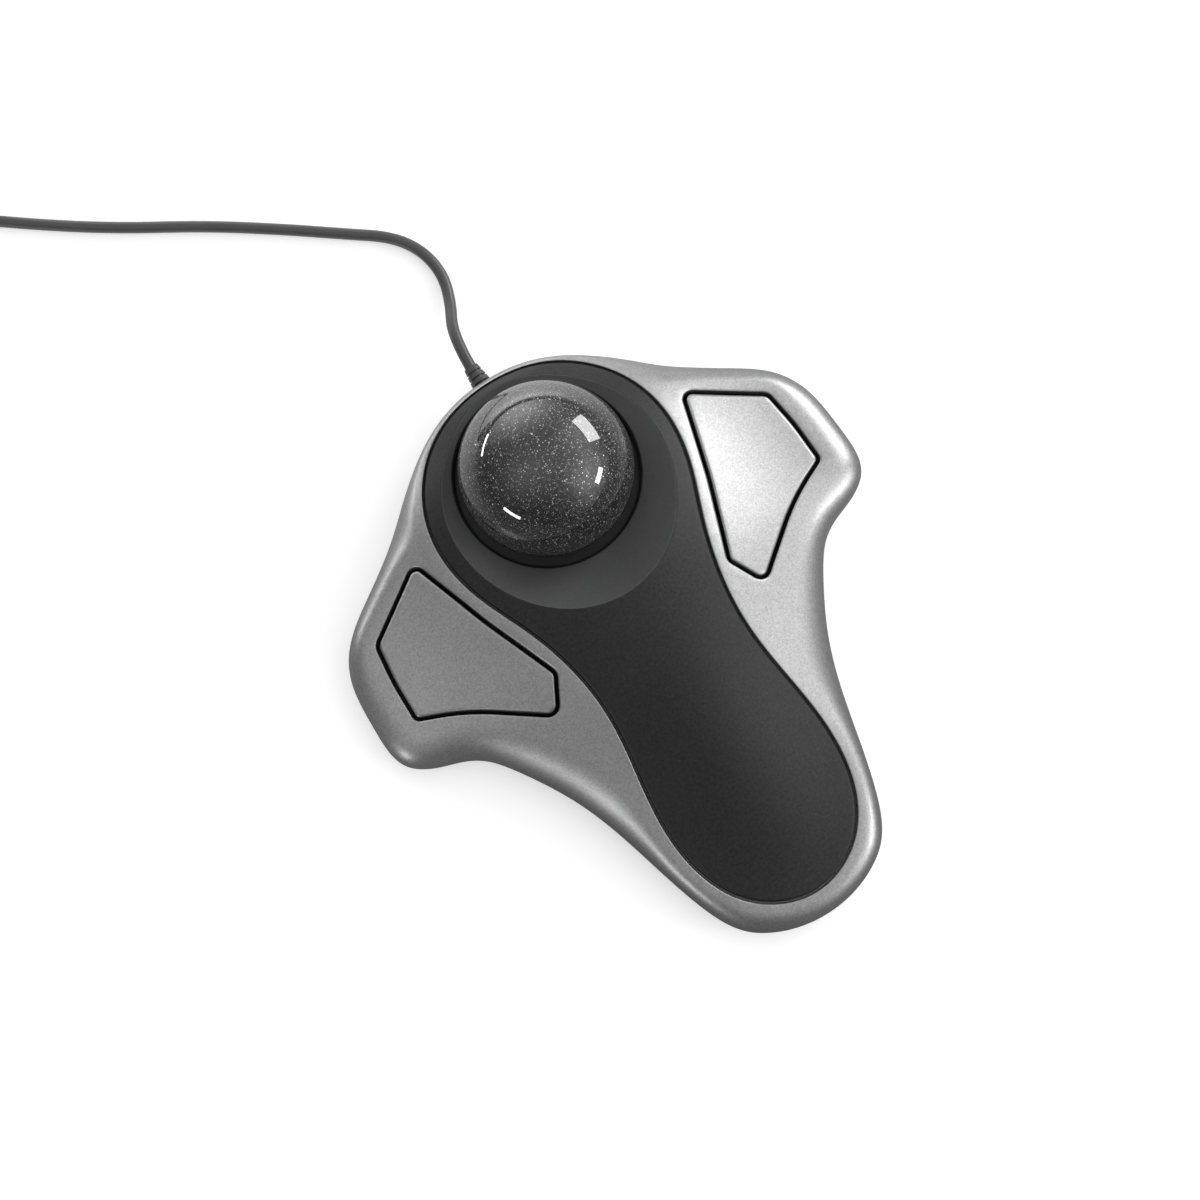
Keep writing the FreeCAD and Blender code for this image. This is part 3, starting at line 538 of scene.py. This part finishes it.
# ================================================================ the cord
CORD_R = 1.4
CORD = [(0.0, 78.5, 7.2), (0.6, 87.6, 6.5), (4.9, 95.4, 2.4), (7.2, 102.6, 1.4), (6.2, 110.2, 1.4), (1.9, 117.0, 1.4), (-6.6, 123.4, 1.4),
        (-18.5, 132.6, 1.4), (-34.0, 143.8, 1.4), (-51.5, 154.6, 1.4), (-68.0, 166.6, 1.4), (-85.1, 180.4, 1.4)]
COIL_TURN_R, COIL_TOP_Z, COIL_STUB, PLUG_STUB, PLUG_Z = 20.0, 9.8, 14.0, 24.0, 4.2


def coil_points():
    """Control points of the put-away turns: four wide and four high, wound in, up, out, up, in, up and out."""
    end, prev = np.array(CORD[-1][:2]), np.array(CORD[-2][:2])
    d = (end - prev) / np.linalg.norm(end - prev)
    side = np.array([d[1], -d[0]])
    centre = end + d * COIL_STUB + side * COIL_TURN_R
    keys_at = [(0, 20.0, 1.4)]
    r, z = 20.0, 1.4
    for layer, (first, step) in enumerate([(300, -2.8), (1620, 2.8), (2940, -2.8), (4260, 2.8)]):
        for k in range(3):
            a = first + 360 * k
            keys_at += [(a, r, z), (a + 60, r + step, z)]
            r += step
        if layer < 3:
            a = (1320, 2640, 3960)[layer]
            keys_at += [(a, r, z), (a + 60, r, z + 2.8)]
            z += 2.8
    keys_at.append((5130, r, z))
    A = np.array([k[0] for k in keys_at], float)
    out = []
    for a in np.arange(15, 5116, 30):
        rr = np.interp(a, A, [k[1] for k in keys_at]) / 0.9660
        zz = np.interp(a, A, [k[2] for k in keys_at])
        t = math.radians(a)
        p = centre - side * rr * math.cos(t) + d * rr * math.sin(t)
        out.append((p[0], p[1], zz))
    leave = centre + d * COIL_TURN_R
    for along, zz in ((3.5, 9.8), (9.0, 9.2), (14.0, 5.6), (18.0, 4.2), (PLUG_STUB, 4.2)):
        p = leave + side * along
        out.append((p[0], p[1], zz))
    return out


route = CORD + coil_points()
curve = bpy.data.curves.new("cord_line", "CURVE")
curve.dimensions = "3D"
curve.bevel_depth = CORD_R * 0.001
curve.bevel_resolution = 5
curve.resolution_u = 6
curve.use_fill_caps = True
sp = curve.splines.new("NURBS")
sp.points.add(len(route) - 1)
for pt, co in zip(sp.points, route):
    pt.co = (co[0] * 0.001, co[1] * 0.001, co[2] * 0.001, 1.0)
sp.order_u = 3
sp.use_endpoint_u = True
cord = bpy.data.objects.new("cord_line", curve)
scene.collection.objects.link(cord)


# ================================================================ pieces on the cord
ALONG, ACROSS = Vector((0.628019, 0.778198, 0.0)), Vector((-0.778198, 0.628019, 0.0))
PLUG_AT, COIL_AT = Vector((-83.93, 235.99, 4.2)), Vector((-83.43, 204.76, 0.0))


def skin(name, rings):
    """A closed tube through rings of points, with capped ends. Millimetres."""
    n = len(rings[0])
    v = [p * 0.001 for r in rings for p in r]
    f = []
    for k in range(len(rings) - 1):
        for i in range(n):
            j = (i + 1) % n
            f.append((k * n + i, k * n + j, (k + 1) * n + j, (k + 1) * n + i))
    for k, turn in ((0, True), (len(rings) - 1, False)):
        mid = sum(rings[k], Vector()) / n * 0.001
        v.append(mid)
        c = len(v) - 1
        for i in range(n):
            j = (i + 1) % n
            f.append((c, k * n + j, k * n + i) if turn else (c, k * n + i, k * n + j))
    mesh = bpy.data.meshes.new(name)
    mesh.from_pydata([tuple(p) for p in v], [], f)
    mesh.validate()
    mesh.update()
    bm = bmesh.new()
    bm.from_mesh(mesh)
    bmesh.ops.recalc_face_normals(bm, faces=bm.faces)
    bm.to_mesh(mesh)
    bm.free()
    mesh.shade_smooth()
    mesh.set_sharp_from_angle(angle=math.radians(40))
    o = bpy.data.objects.new(name, mesh)
    scene.collection.objects.link(o)
    return o


def build_grip():
    """Moulded plug grip: ribbed neck, shoulders, a shallow waist with finger ribs, rounded end."""
    keys_at = [(0.0, 1.95, 1.95, 2.0), (0.5, 2.35, 2.35, 2.0), (5.0, 3.0, 2.8, 2.2), (6.6, 4.3, 3.2, 2.6), (8.6, 6.6, 3.9, 3.2), (10.5, 7.35, 4.12, 3.8),
               (14.0, 7.1, 4.02, 4.0), (17.0, 6.95, 3.95, 4.0), (20.0, 7.1, 4.0, 4.0), (23.5, 7.6, 4.12, 4.2), (25.2, 7.6, 4.12, 4.2), (25.75, 7.35, 3.9, 4.0), (26.0, 6.7, 3.4, 3.6)]
    T = [k[0] for k in keys_at]
    ts = np.unique(np.concatenate([np.linspace(0, 8.6, 44), np.linspace(8.6, 25.2, 70), np.linspace(25.2, 26.0, 7)]))
    rings = []
    for t in ts:
        a, b, e = (float(np.interp(t, T, [k[i] for k in keys_at])) for i in (1, 2, 3))
        rib = 0.0
        if 0.9 < t < 4.9:
            rib = -0.32 * max(0.0, math.cos(2 * math.pi * (t - 0.9) / 1.0 + math.pi)) ** 0.7
        if 13.0 < t < 21.0:
            rib = -0.22 * max(0.0, math.cos(2 * math.pi * (t - 13.0) / 1.6 + math.pi)) ** 0.7
        ring = []
        for q in np.linspace(0, 2 * math.pi, 56, endpoint=False):
            c, sn = math.cos(q), math.sin(q)
            x = math.copysign(abs(c) ** (2 / e), c) * (a + (rib if t < 5 or abs(c) > 0.5 else 0.0))
            z = math.copysign(abs(sn) ** (2 / e), sn) * (b + (rib if t < 5 else 0.0))
            ring.append(PLUG_AT + ALONG * float(t) + ACROSS * x + Vector((0, 0, z)))
        rings.append(ring)
    return skin("plug_grip", rings)


def build_strap():
    """Hook-and-loop strap round the coil's turns, its end lapped over the top."""
    mid = COIL_AT - ACROSS * 15.8
    left, right, low, high, r = -6.05, 6.05, 0.27, 11.55, 1.9
    path = [(-1.2, high), (right - r, high)]
    for cx, cz, a0 in ((right - r, high - r, 90), (right - r, low + r, 0), (left + r, low + r, -90), (left + r, high - r, -180)):
        path += [(cx + r * math.cos(math.radians(a)), cz + r * math.sin(math.radians(a))) for a in np.linspace(a0, a0 - 90, 9)]
    path += [(-3.4, high + 0.08), (-2.2, high + 0.46), (-1.2, high + 0.60), (0.5, high + 0.60), (3.6, high + 0.60)]
    P = [path[0]]
    for q in path[1:]:
        if math.dist(P[-1], q) > 0.05:
            P.append(q)
    rings = []
    for i, p in enumerate(P):
        a, b = P[max(0, i - 1)], P[min(len(P) - 1, i + 1)]
        t = Vector((b[0] - a[0], b[1] - a[1])).normalized()
        out = Vector((-t.y, t.x))
        w, h = (2.8, 0.25) if i < len(P) - 1 else (2.3, 0.2)
        ring = []
        for y, k in ((-w, -h + 0.1), (-w + 0.15, -h), (w - 0.15, -h), (w, -h + 0.1), (w, h - 0.1), (w - 0.15, h), (-w + 0.15, h), (-w, h - 0.1)):
            ring.append(mid + ACROSS * (p[0] + out.x * k) + ALONG * y + Vector((0, 0, p[1] + out.y * k)))
        rings.append(ring)
    return skin("coil_strap", rings)


grip, strap = build_grip(), build_strap()

# ================================================================ materials


class Nodes:
    def __init__(self, name):
        self.m = bpy.data.materials.new(name)
        self.m.use_nodes = True
        self.t = self.m.node_tree
        self.t.nodes.clear()
        self.out = self.t.nodes.new("ShaderNodeOutputMaterial")
        self.b = self.t.nodes.new("ShaderNodeBsdfPrincipled")
        self.t.links.new(self.b.outputs[0], self.out.inputs[0])
        self.coord = self.t.nodes.new("ShaderNodeTexCoord").outputs["Object"]

    def node(self, kind, **inputs):
        n = self.t.nodes.new(kind)
        for k, v in inputs.items():
            self.put(n, k, v)
        return n

    def put(self, n, key, v):
        socket = n.inputs[key.replace("_", " ")] if isinstance(key, str) else n.inputs[key]
        if isinstance(v, bpy.types.NodeSocket):
            self.t.links.new(v, socket)
        elif isinstance(v, (tuple, list)) and len(v) == 3 and socket.type == "RGBA":
            socket.default_value = (*v, 1.0)
        else:
            socket.default_value = v

    def set(self, **inputs):
        for k, v in inputs.items():
            self.put(self.b, k, v)
        return self

    def noise(self, scale, detail=2.0, rough=0.5, out="Fac"):
        n = self.node("ShaderNodeTexNoise", Vector=self.coord, Scale=scale, Detail=detail, Roughness=rough)
        return n.outputs[out]

    def cells(self, scale, feature="F1", out="Distance"):
        n = self.node("ShaderNodeTexVoronoi", Vector=self.coord, Scale=scale)
        n.feature = feature
        return n.outputs[out]

    def ramp(self, value, *stops):
        r = self.t.nodes.new("ShaderNodeValToRGB")
        while len(r.color_ramp.elements) < len(stops):
            r.color_ramp.elements.new(0.5)
        for e, (at, c) in zip(r.color_ramp.elements, stops):
            e.position = at
            e.color = (c, c, c, 1) if isinstance(c, (int, float)) else (*c, 1)
        self.t.links.new(value, r.inputs[0])
        return r.outputs[0]

    def math(self, op, a, b=0.0, clamp=False):
        n = self.t.nodes.new("ShaderNodeMath")
        n.operation = op
        n.use_clamp = clamp
        for i, v in enumerate((a, b)):
            if isinstance(v, bpy.types.NodeSocket):
                self.t.links.new(v, n.inputs[i])
            else:
                n.inputs[i].default_value = v
        return n.outputs[0]

    def range(self, value, a, b, lo=0.0, hi=1.0):
        n = self.node("ShaderNodeMapRange", Value=value)
        n.inputs["From Min"].default_value, n.inputs["From Max"].default_value = lo, hi
        n.inputs["To Min"].default_value, n.inputs["To Max"].default_value = a, b
        return n.outputs[0]

    def mix(self, fac, a, b, mode="MIX"):
        n = self.t.nodes.new("ShaderNodeMix")
        n.data_type = "RGBA"
        n.blend_type = mode
        for i, v in ((0, fac), (6, a), (7, b)):
            if isinstance(v, bpy.types.NodeSocket):
                self.t.links.new(v, n.inputs[i])
            elif isinstance(v, (tuple, list)):
                n.inputs[i].default_value = (*v, 1.0)
            else:
                n.inputs[i].default_value = v
        return n.outputs[2]

    def bump(self, height, distance, strength=1.0, normal=None):
        n = self.node("ShaderNodeBump", Height=height, Distance=distance, Strength=strength)
        if normal is not None:
            self.t.links.new(normal, n.inputs["Normal"])
        return n.outputs[0]


def silver_paint():
    n = Nodes("silver_paint")
    flake = n.cells(3300, out="Color")
    sep = n.node("ShaderNodeSeparateColor", Color=flake)
    grain = n.noise(5200, 2.0)
    cloud = n.noise(34, 3.0)
    tone = n.math("ADD", n.range(sep.outputs[0], -0.045, 0.055), n.range(grain, -0.05, 0.05, 0.3, 0.7))
    tone = n.math("ADD", tone, n.range(cloud, -0.018, 0.018, 0.3, 0.7))
    tone = n.math("ADD", tone, n.range(n.noise(1500, 2.0, 0.6), -0.018, 0.018, 0.3, 0.7))
    level = n.math("ADD", tone, 0.36)
    col = n.node("ShaderNodeCombineColor", Red=level, Green=level, Blue=n.math("MULTIPLY", level, 1.005)).outputs[0]
    n.set(Base_Color=col, Metallic=0.92, Roughness=n.range(grain, 0.36, 0.46, 0.3, 0.7), Coat_Weight=0.12, Coat_Roughness=0.30)
    n.set(Normal=n.bump(n.math("ADD", n.math("MULTIPLY", sep.outputs[1], 0.5), grain), 0.000012, 0.6))
    return n.m


def charcoal():
    n = Nodes("charcoal_soft")
    grain = n.noise(4300, 3.0, 0.6)
    broad = n.noise(26, 3.0)
    # the dish mark: it lightens the dish's base colour as painted light, and also lowers its roughness and raises its
    # specular level
    mark = n.node("ShaderNodeAttribute")
    mark.attribute_name = "dish"
    dish = mark.outputs["Fac"]
    level = n.math("ADD", n.range(grain, -0.003, 0.003, 0.3, 0.7), n.range(broad, 0.009, 0.014, 0.3, 0.7))
    level = n.math("ADD", level, n.range(n.noise(1400, 3.0, 0.7), -0.006, 0.008, 0.3, 0.7))
    # painted light: the whole dish gets a lighter base colour (+0.078), standing in for the light that falls on its
    # walls
    level = n.math("ADD", level, n.math("MULTIPLY", dish, 0.078))
    col = n.node("ShaderNodeCombineColor", Red=level, Green=n.math("MULTIPLY", level, 1.02), Blue=n.math("MULTIPLY", level, 1.01)).outputs[0]
    rough = n.math("SUBTRACT", n.range(broad, 0.44, 0.52, 0.3, 0.7), n.math("MULTIPLY", dish, 0.10))
    n.set(Base_Color=col, Roughness=rough, Specular_IOR_Level=n.math("ADD", 0.36, n.math("MULTIPLY", dish, 0.22)), Normal=n.bump(grain, 0.00002, 0.55))
    return n.m


def ball_resin():
    """Dark resin with fine metal flakes, each tipped its own way, under a clear gloss."""
    n = Nodes("speckled_resin")
    shape = n.node("ShaderNodeNewGeometry")
    total = None
    for scale, size, share, bright in ((1000, 0.20, 0.74, 1.0), (1900, 0.30, 0.60, 0.70), (3000, 0.40, 0.55, 0.38)):
        vor = n.node("ShaderNodeTexVoronoi", Vector=n.coord, Scale=scale)
        sep = n.node("ShaderNodeSeparateColor", Color=vor.outputs["Color"])
        on = n.math("GREATER_THAN", sep.outputs[0], share)
        spot = n.math("SUBTRACT", 1.0, n.math("DIVIDE", vor.outputs["Distance"], size), True)
        spot = n.math("MULTIPLY", n.math("MULTIPLY", spot, 2.6, True), on)
        spot = n.math("MULTIPLY", spot, n.range(sep.outputs[1], bright * 0.25, bright))
        total = spot if total is None else n.math("MAXIMUM", total, spot)
    lean = n.node("ShaderNodeVectorMath")
    lean.operation = "SUBTRACT"
    n.t.links.new(n.node("ShaderNodeTexVoronoi", Vector=n.coord, Scale=1900).outputs["Color"], lean.inputs[0])
    lean.inputs[1].default_value = (0.5, 0.5, 0.5)
    scaled = n.node("ShaderNodeVectorMath")
    scaled.operation = "SCALE"
    scaled.inputs["Scale"].default_value = 0.9
    n.t.links.new(lean.outputs[0], scaled.inputs[0])
    tilted = n.node("ShaderNodeVectorMath")
    tilted.operation = "ADD"
    n.t.links.new(shape.outputs["Normal"], tilted.inputs[0])
    n.t.links.new(scaled.outputs[0], tilted.inputs[1])
    unit = n.node("ShaderNodeVectorMath")
    unit.operation = "NORMALIZE"
    n.t.links.new(tilted.outputs[0], unit.inputs[0])
    dust = n.range(n.noise(2600, 3.0, 0.7), 0.0, 0.035, 0.50, 0.80)
    cloud = n.range(n.noise(140, 3.0), 0.003, 0.012, 0.3, 0.7)
    level = n.math("ADD", n.math("ADD", n.math("MULTIPLY", total, 0.85), dust), cloud)
    col = n.node("ShaderNodeCombineColor", Red=level, Green=level, Blue=n.math("MULTIPLY", level, 0.99)).outputs[0]
    n.set(Base_Color=col, Roughness=0.42, Metallic=n.math("MULTIPLY", total, 0.9, True), Normal=unit.outputs[0], Specular_IOR_Level=0.1,
          Coat_Weight=1.0, Coat_Roughness=0.02, Coat_IOR=1.75)
    n.t.links.new(shape.outputs["Normal"], n.b.inputs["Coat Normal"])
    return n.m


def plain(name, color, rough, metallic=0.0, scale=2500, depth=0.00001, spread=0.06, mottle=18, **more):
    """Moulded or metal surface: fine grain, slight mottling and uneven gloss."""
    n = Nodes(name)
    grain = n.noise(scale, 3.0, 0.6)
    broad = n.noise(mottle * 10, 3.0)
    k = n.math("ADD", n.range(grain, -spread, spread, 0.3, 0.7), n.range(broad, 1 - spread, 1 + spread, 0.3, 0.7))
    mult = n.node("ShaderNodeCombineColor", Red=k, Green=k, Blue=k).outputs[0]
    n.set(Base_Color=n.mix(1.0, tuple(color), mult, "MULTIPLY"), Metallic=metallic, Roughness=n.range(broad, rough * 0.85, min(1.0, rough * 1.15), 0.3, 0.7))
    n.set(Normal=n.bump(grain, depth, 0.6), **more)
    return n.m


M = {
    "silver_paint": silver_paint(),
    "charcoal_soft": charcoal(),
    "speckled_resin": ball_resin(),
    "clear_resin": plain("clear_resin", (0.10, 0.10, 0.102), 0.06, depth=0.0, Coat_Weight=1.0),
    "black_plastic": plain("black_plastic", (0.022, 0.022, 0.023), 0.48, scale=1500, depth=0.00003),
    "ceramic": plain("ceramic", (0.82, 0.81, 0.77), 0.12, depth=0.0, Coat_Weight=0.4),
    "steel": plain("steel", (0.55, 0.55, 0.56), 0.28, 1.0, scale=4000, depth=0.000004),
    "circuit_board": plain("circuit_board", (0.016, 0.10, 0.045), 0.35, scale=900, depth=0.00001, Coat_Weight=0.3),
    "chip_black": plain("chip_black", (0.018, 0.018, 0.018), 0.55, scale=3000),
    "clear_lens": plain("clear_lens", (0.80, 0.84, 0.86), 0.05, depth=0.0, Transmission_Weight=0.9, IOR=1.49),
    "led_red": plain("led_red", (0.55, 0.03, 0.02), 0.08, depth=0.0, Transmission_Weight=0.6),
    "grey_ribbon": plain("grey_ribbon", (0.36, 0.36, 0.37), 0.5),
    "capacitor_sleeve": plain("capacitor_sleeve", (0.02, 0.03, 0.08), 0.25, Coat_Weight=0.3),
    "chip_tan": plain("chip_tan", (0.42, 0.33, 0.22), 0.5),
    "white_plastic": plain("white_plastic", (0.78, 0.78, 0.75), 0.35),
    "black_rubber": plain("black_rubber", (0.018, 0.018, 0.019), 0.72, scale=1100, depth=0.00004),
    "label": plain("label", (0.50, 0.50, 0.51), 0.38, 0.3, scale=5000),
    "cord_jacket": plain("cord_jacket", (0.060, 0.060, 0.062), 0.34, scale=1800, depth=0.00001),
    "plug_metal": plain("plug_metal", (0.46, 0.46, 0.48), 0.27, 1.0, scale=5000, depth=0.000002, spread=0.03),
    "gold": plain("gold", (0.83, 0.60, 0.22), 0.2, 1.0),
}
for sub in frame["record"]["subparts"]:
    o = NODES[sub["node"]]
    o.data.materials.clear()
    o.data.materials.append(M[sub["material_slot"]])


def dress(o, slot):
    o.data.materials.clear()
    o.data.materials.append(M[slot])


dress(shell, "silver_paint")
dress(inlay, "charcoal_soft")
dress(ball, "speckled_resin")
dress(cord, "cord_jacket")
for k in keys.values():
    dress(k, "silver_paint")

slots = {sub["node"]: sub["material_slot"] for sub in frame["record"]["subparts"]}
for piece, node in ((grip, "usb_grip"), (strap, "cord_tie")):
    dress(piece, slots[node])
    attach(piece, "case")
    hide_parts(node)

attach(shell, "case")
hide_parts("top_case")
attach(inlay, "case")
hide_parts("centre_inlay")
for side in ("right", "left"):
    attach(keys[side], side + "_button")
    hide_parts(side + "_button")
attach(ball, "ball_inner")
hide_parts("ball_core", "ball_clear_coat")
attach(cord, "case")
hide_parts("cord", "cord_coil")

# ================================================================ floor, light
SKY = [((0.0, 0.0, 1.0), 5.0, 0.55), ((-0.64, 0.0, 0.77), 8.0, 0.44), ((0.58, -0.66, 0.48), 9.0, 1.7), ((0.12, 0.97, 0.20), 8.0, 2.4), ((0.82, 0.12, 0.56), 11.0, 1.15)]
floor_mesh = bpy.data.meshes.new("floor")
floor_mesh.from_pydata([(-4, -4, 0), (4, -4, 0), (4, 4, 0), (-4, 4, 0)], [], [(0, 1, 2, 3)])
floor = bpy.data.objects.new("floor", floor_mesh)
scene.collection.objects.link(floor)
nf = Nodes("floor_paper")
nf.set(Base_Color=(0.80, 0.80, 0.80), Roughness=0.9, Specular_IOR_Level=0.05, Emission_Color=(1.0, 1.0, 1.0), Emission_Strength=0.47)
dim = nf.node("ShaderNodeBsdfPrincipled", Roughness=0.9, Specular_IOR_Level=0.0)
dim.inputs["Base Color"].default_value = (0.22, 0.22, 0.22, 1)
dim.inputs["Emission Color"].default_value = (1, 1, 1, 1)
away = nf.node("ShaderNodeVectorMath")
away.operation = "DISTANCE"
nf.t.links.new(nf.coord, away.inputs[0])
away.inputs[1].default_value = (0.05, 0.27, 0.0)
near = nf.math("EXPONENT", nf.math("MULTIPLY", nf.math("POWER", away.outputs["Value"], 2.0), -45.0))
nf.t.links.new(nf.math("MULTIPLY", near, 2.7), dim.inputs["Emission Strength"])
seen_by = nf.node("ShaderNodeLightPath")
both = nf.node("ShaderNodeMixShader")
nf.t.links.new(seen_by.outputs["Is Camera Ray"], both.inputs[0])
nf.t.links.new(dim.outputs[0], both.inputs[1])
nf.t.links.new(nf.b.outputs[0], both.inputs[2])
nf.t.links.new(both.outputs[0], nf.out.inputs[0])
floor.data.materials.append(nf.m)

world = bpy.data.worlds.new("world")
scene.world = world
world.use_nodes = True
wt = world.node_tree
wt.nodes.clear()


def world_math(op, a, b=0.0):
    n = wt.nodes.new("ShaderNodeMath")
    n.operation = op
    for i, v in enumerate((a, b)):
        if isinstance(v, bpy.types.NodeSocket):
            wt.links.new(v, n.inputs[i])
        else:
            n.inputs[i].default_value = v
    return n.outputs[0]


def soft_glow(direction, sharpness, strength):
    """A broad soft light round a direction of the sky."""
    n = wt.nodes.new("ShaderNodeVectorMath")
    n.operation = "DOT_PRODUCT"
    wt.links.new(sky.outputs["Generated"], n.inputs[0])
    n.inputs[1].default_value = Vector(direction).normalized()
    e = world_math("EXPONENT", world_math("MULTIPLY", world_math("SUBTRACT", n.outputs["Value"], 1.0), sharpness))
    return world_math("MULTIPLY", e, strength)


sky = wt.nodes.new("ShaderNodeTexCoord")
light = 0.12
for direction, sharpness, strength in SKY:
    light = world_math("ADD", light, soft_glow(direction, sharpness, strength))
wlp = wt.nodes.new("ShaderNodeLightPath")
wmix = wt.nodes.new("ShaderNodeMix")
wt.links.new(wlp.outputs["Is Camera Ray"], wmix.inputs[0])
wt.links.new(light, wmix.inputs[2])
wmix.inputs[3].default_value = 1.0
wbg = wt.nodes.new("ShaderNodeBackground")
wbg.inputs["Color"].default_value = (1, 1, 1, 1)
wt.links.new(wmix.outputs[0], wbg.inputs["Strength"])
wout = wt.nodes.new("ShaderNodeOutputWorld")
wt.links.new(wbg.outputs[0], wout.inputs[0])


def softbox(name, direction, distance, width, height, power, centre=(0.0, 0.045, 0.03)):
    """A rectangular light standing off in that direction, facing the object; its width is level."""
    d = Vector(direction).normalized()
    light = bpy.data.lights.new(name, "AREA")
    light.shape = "RECTANGLE"
    light.size, light.size_y = width, height
    light.energy = power
    o = bpy.data.objects.new(name, light)
    o.location = Vector(centre) + d * distance
    o.rotation_euler = d.to_track_quat("Z", "Y").to_euler()
    scene.collection.objects.link(o)
    return o


softbox("window", (0.965, 0.16, 0.31), 1.0, 0.52, 0.34, 4.2)
softbox("strip_left", (-0.58, 0.81, 0.02), 1.0, 0.36, 0.05, 1.0)
softbox("strip_back", (-0.934, -0.356, 0.07), 1.0, 0.34, 0.08, 1.2)
softbox("strip_right", (0.710, -0.672, 0.24), 1.0, 0.30, 0.12, 1.8)

scene.view_settings.view_transform = "Standard"
scene.view_settings.look = "None"
scene.view_settings.exposure = 0.0
scene.view_settings.gamma = 1.0
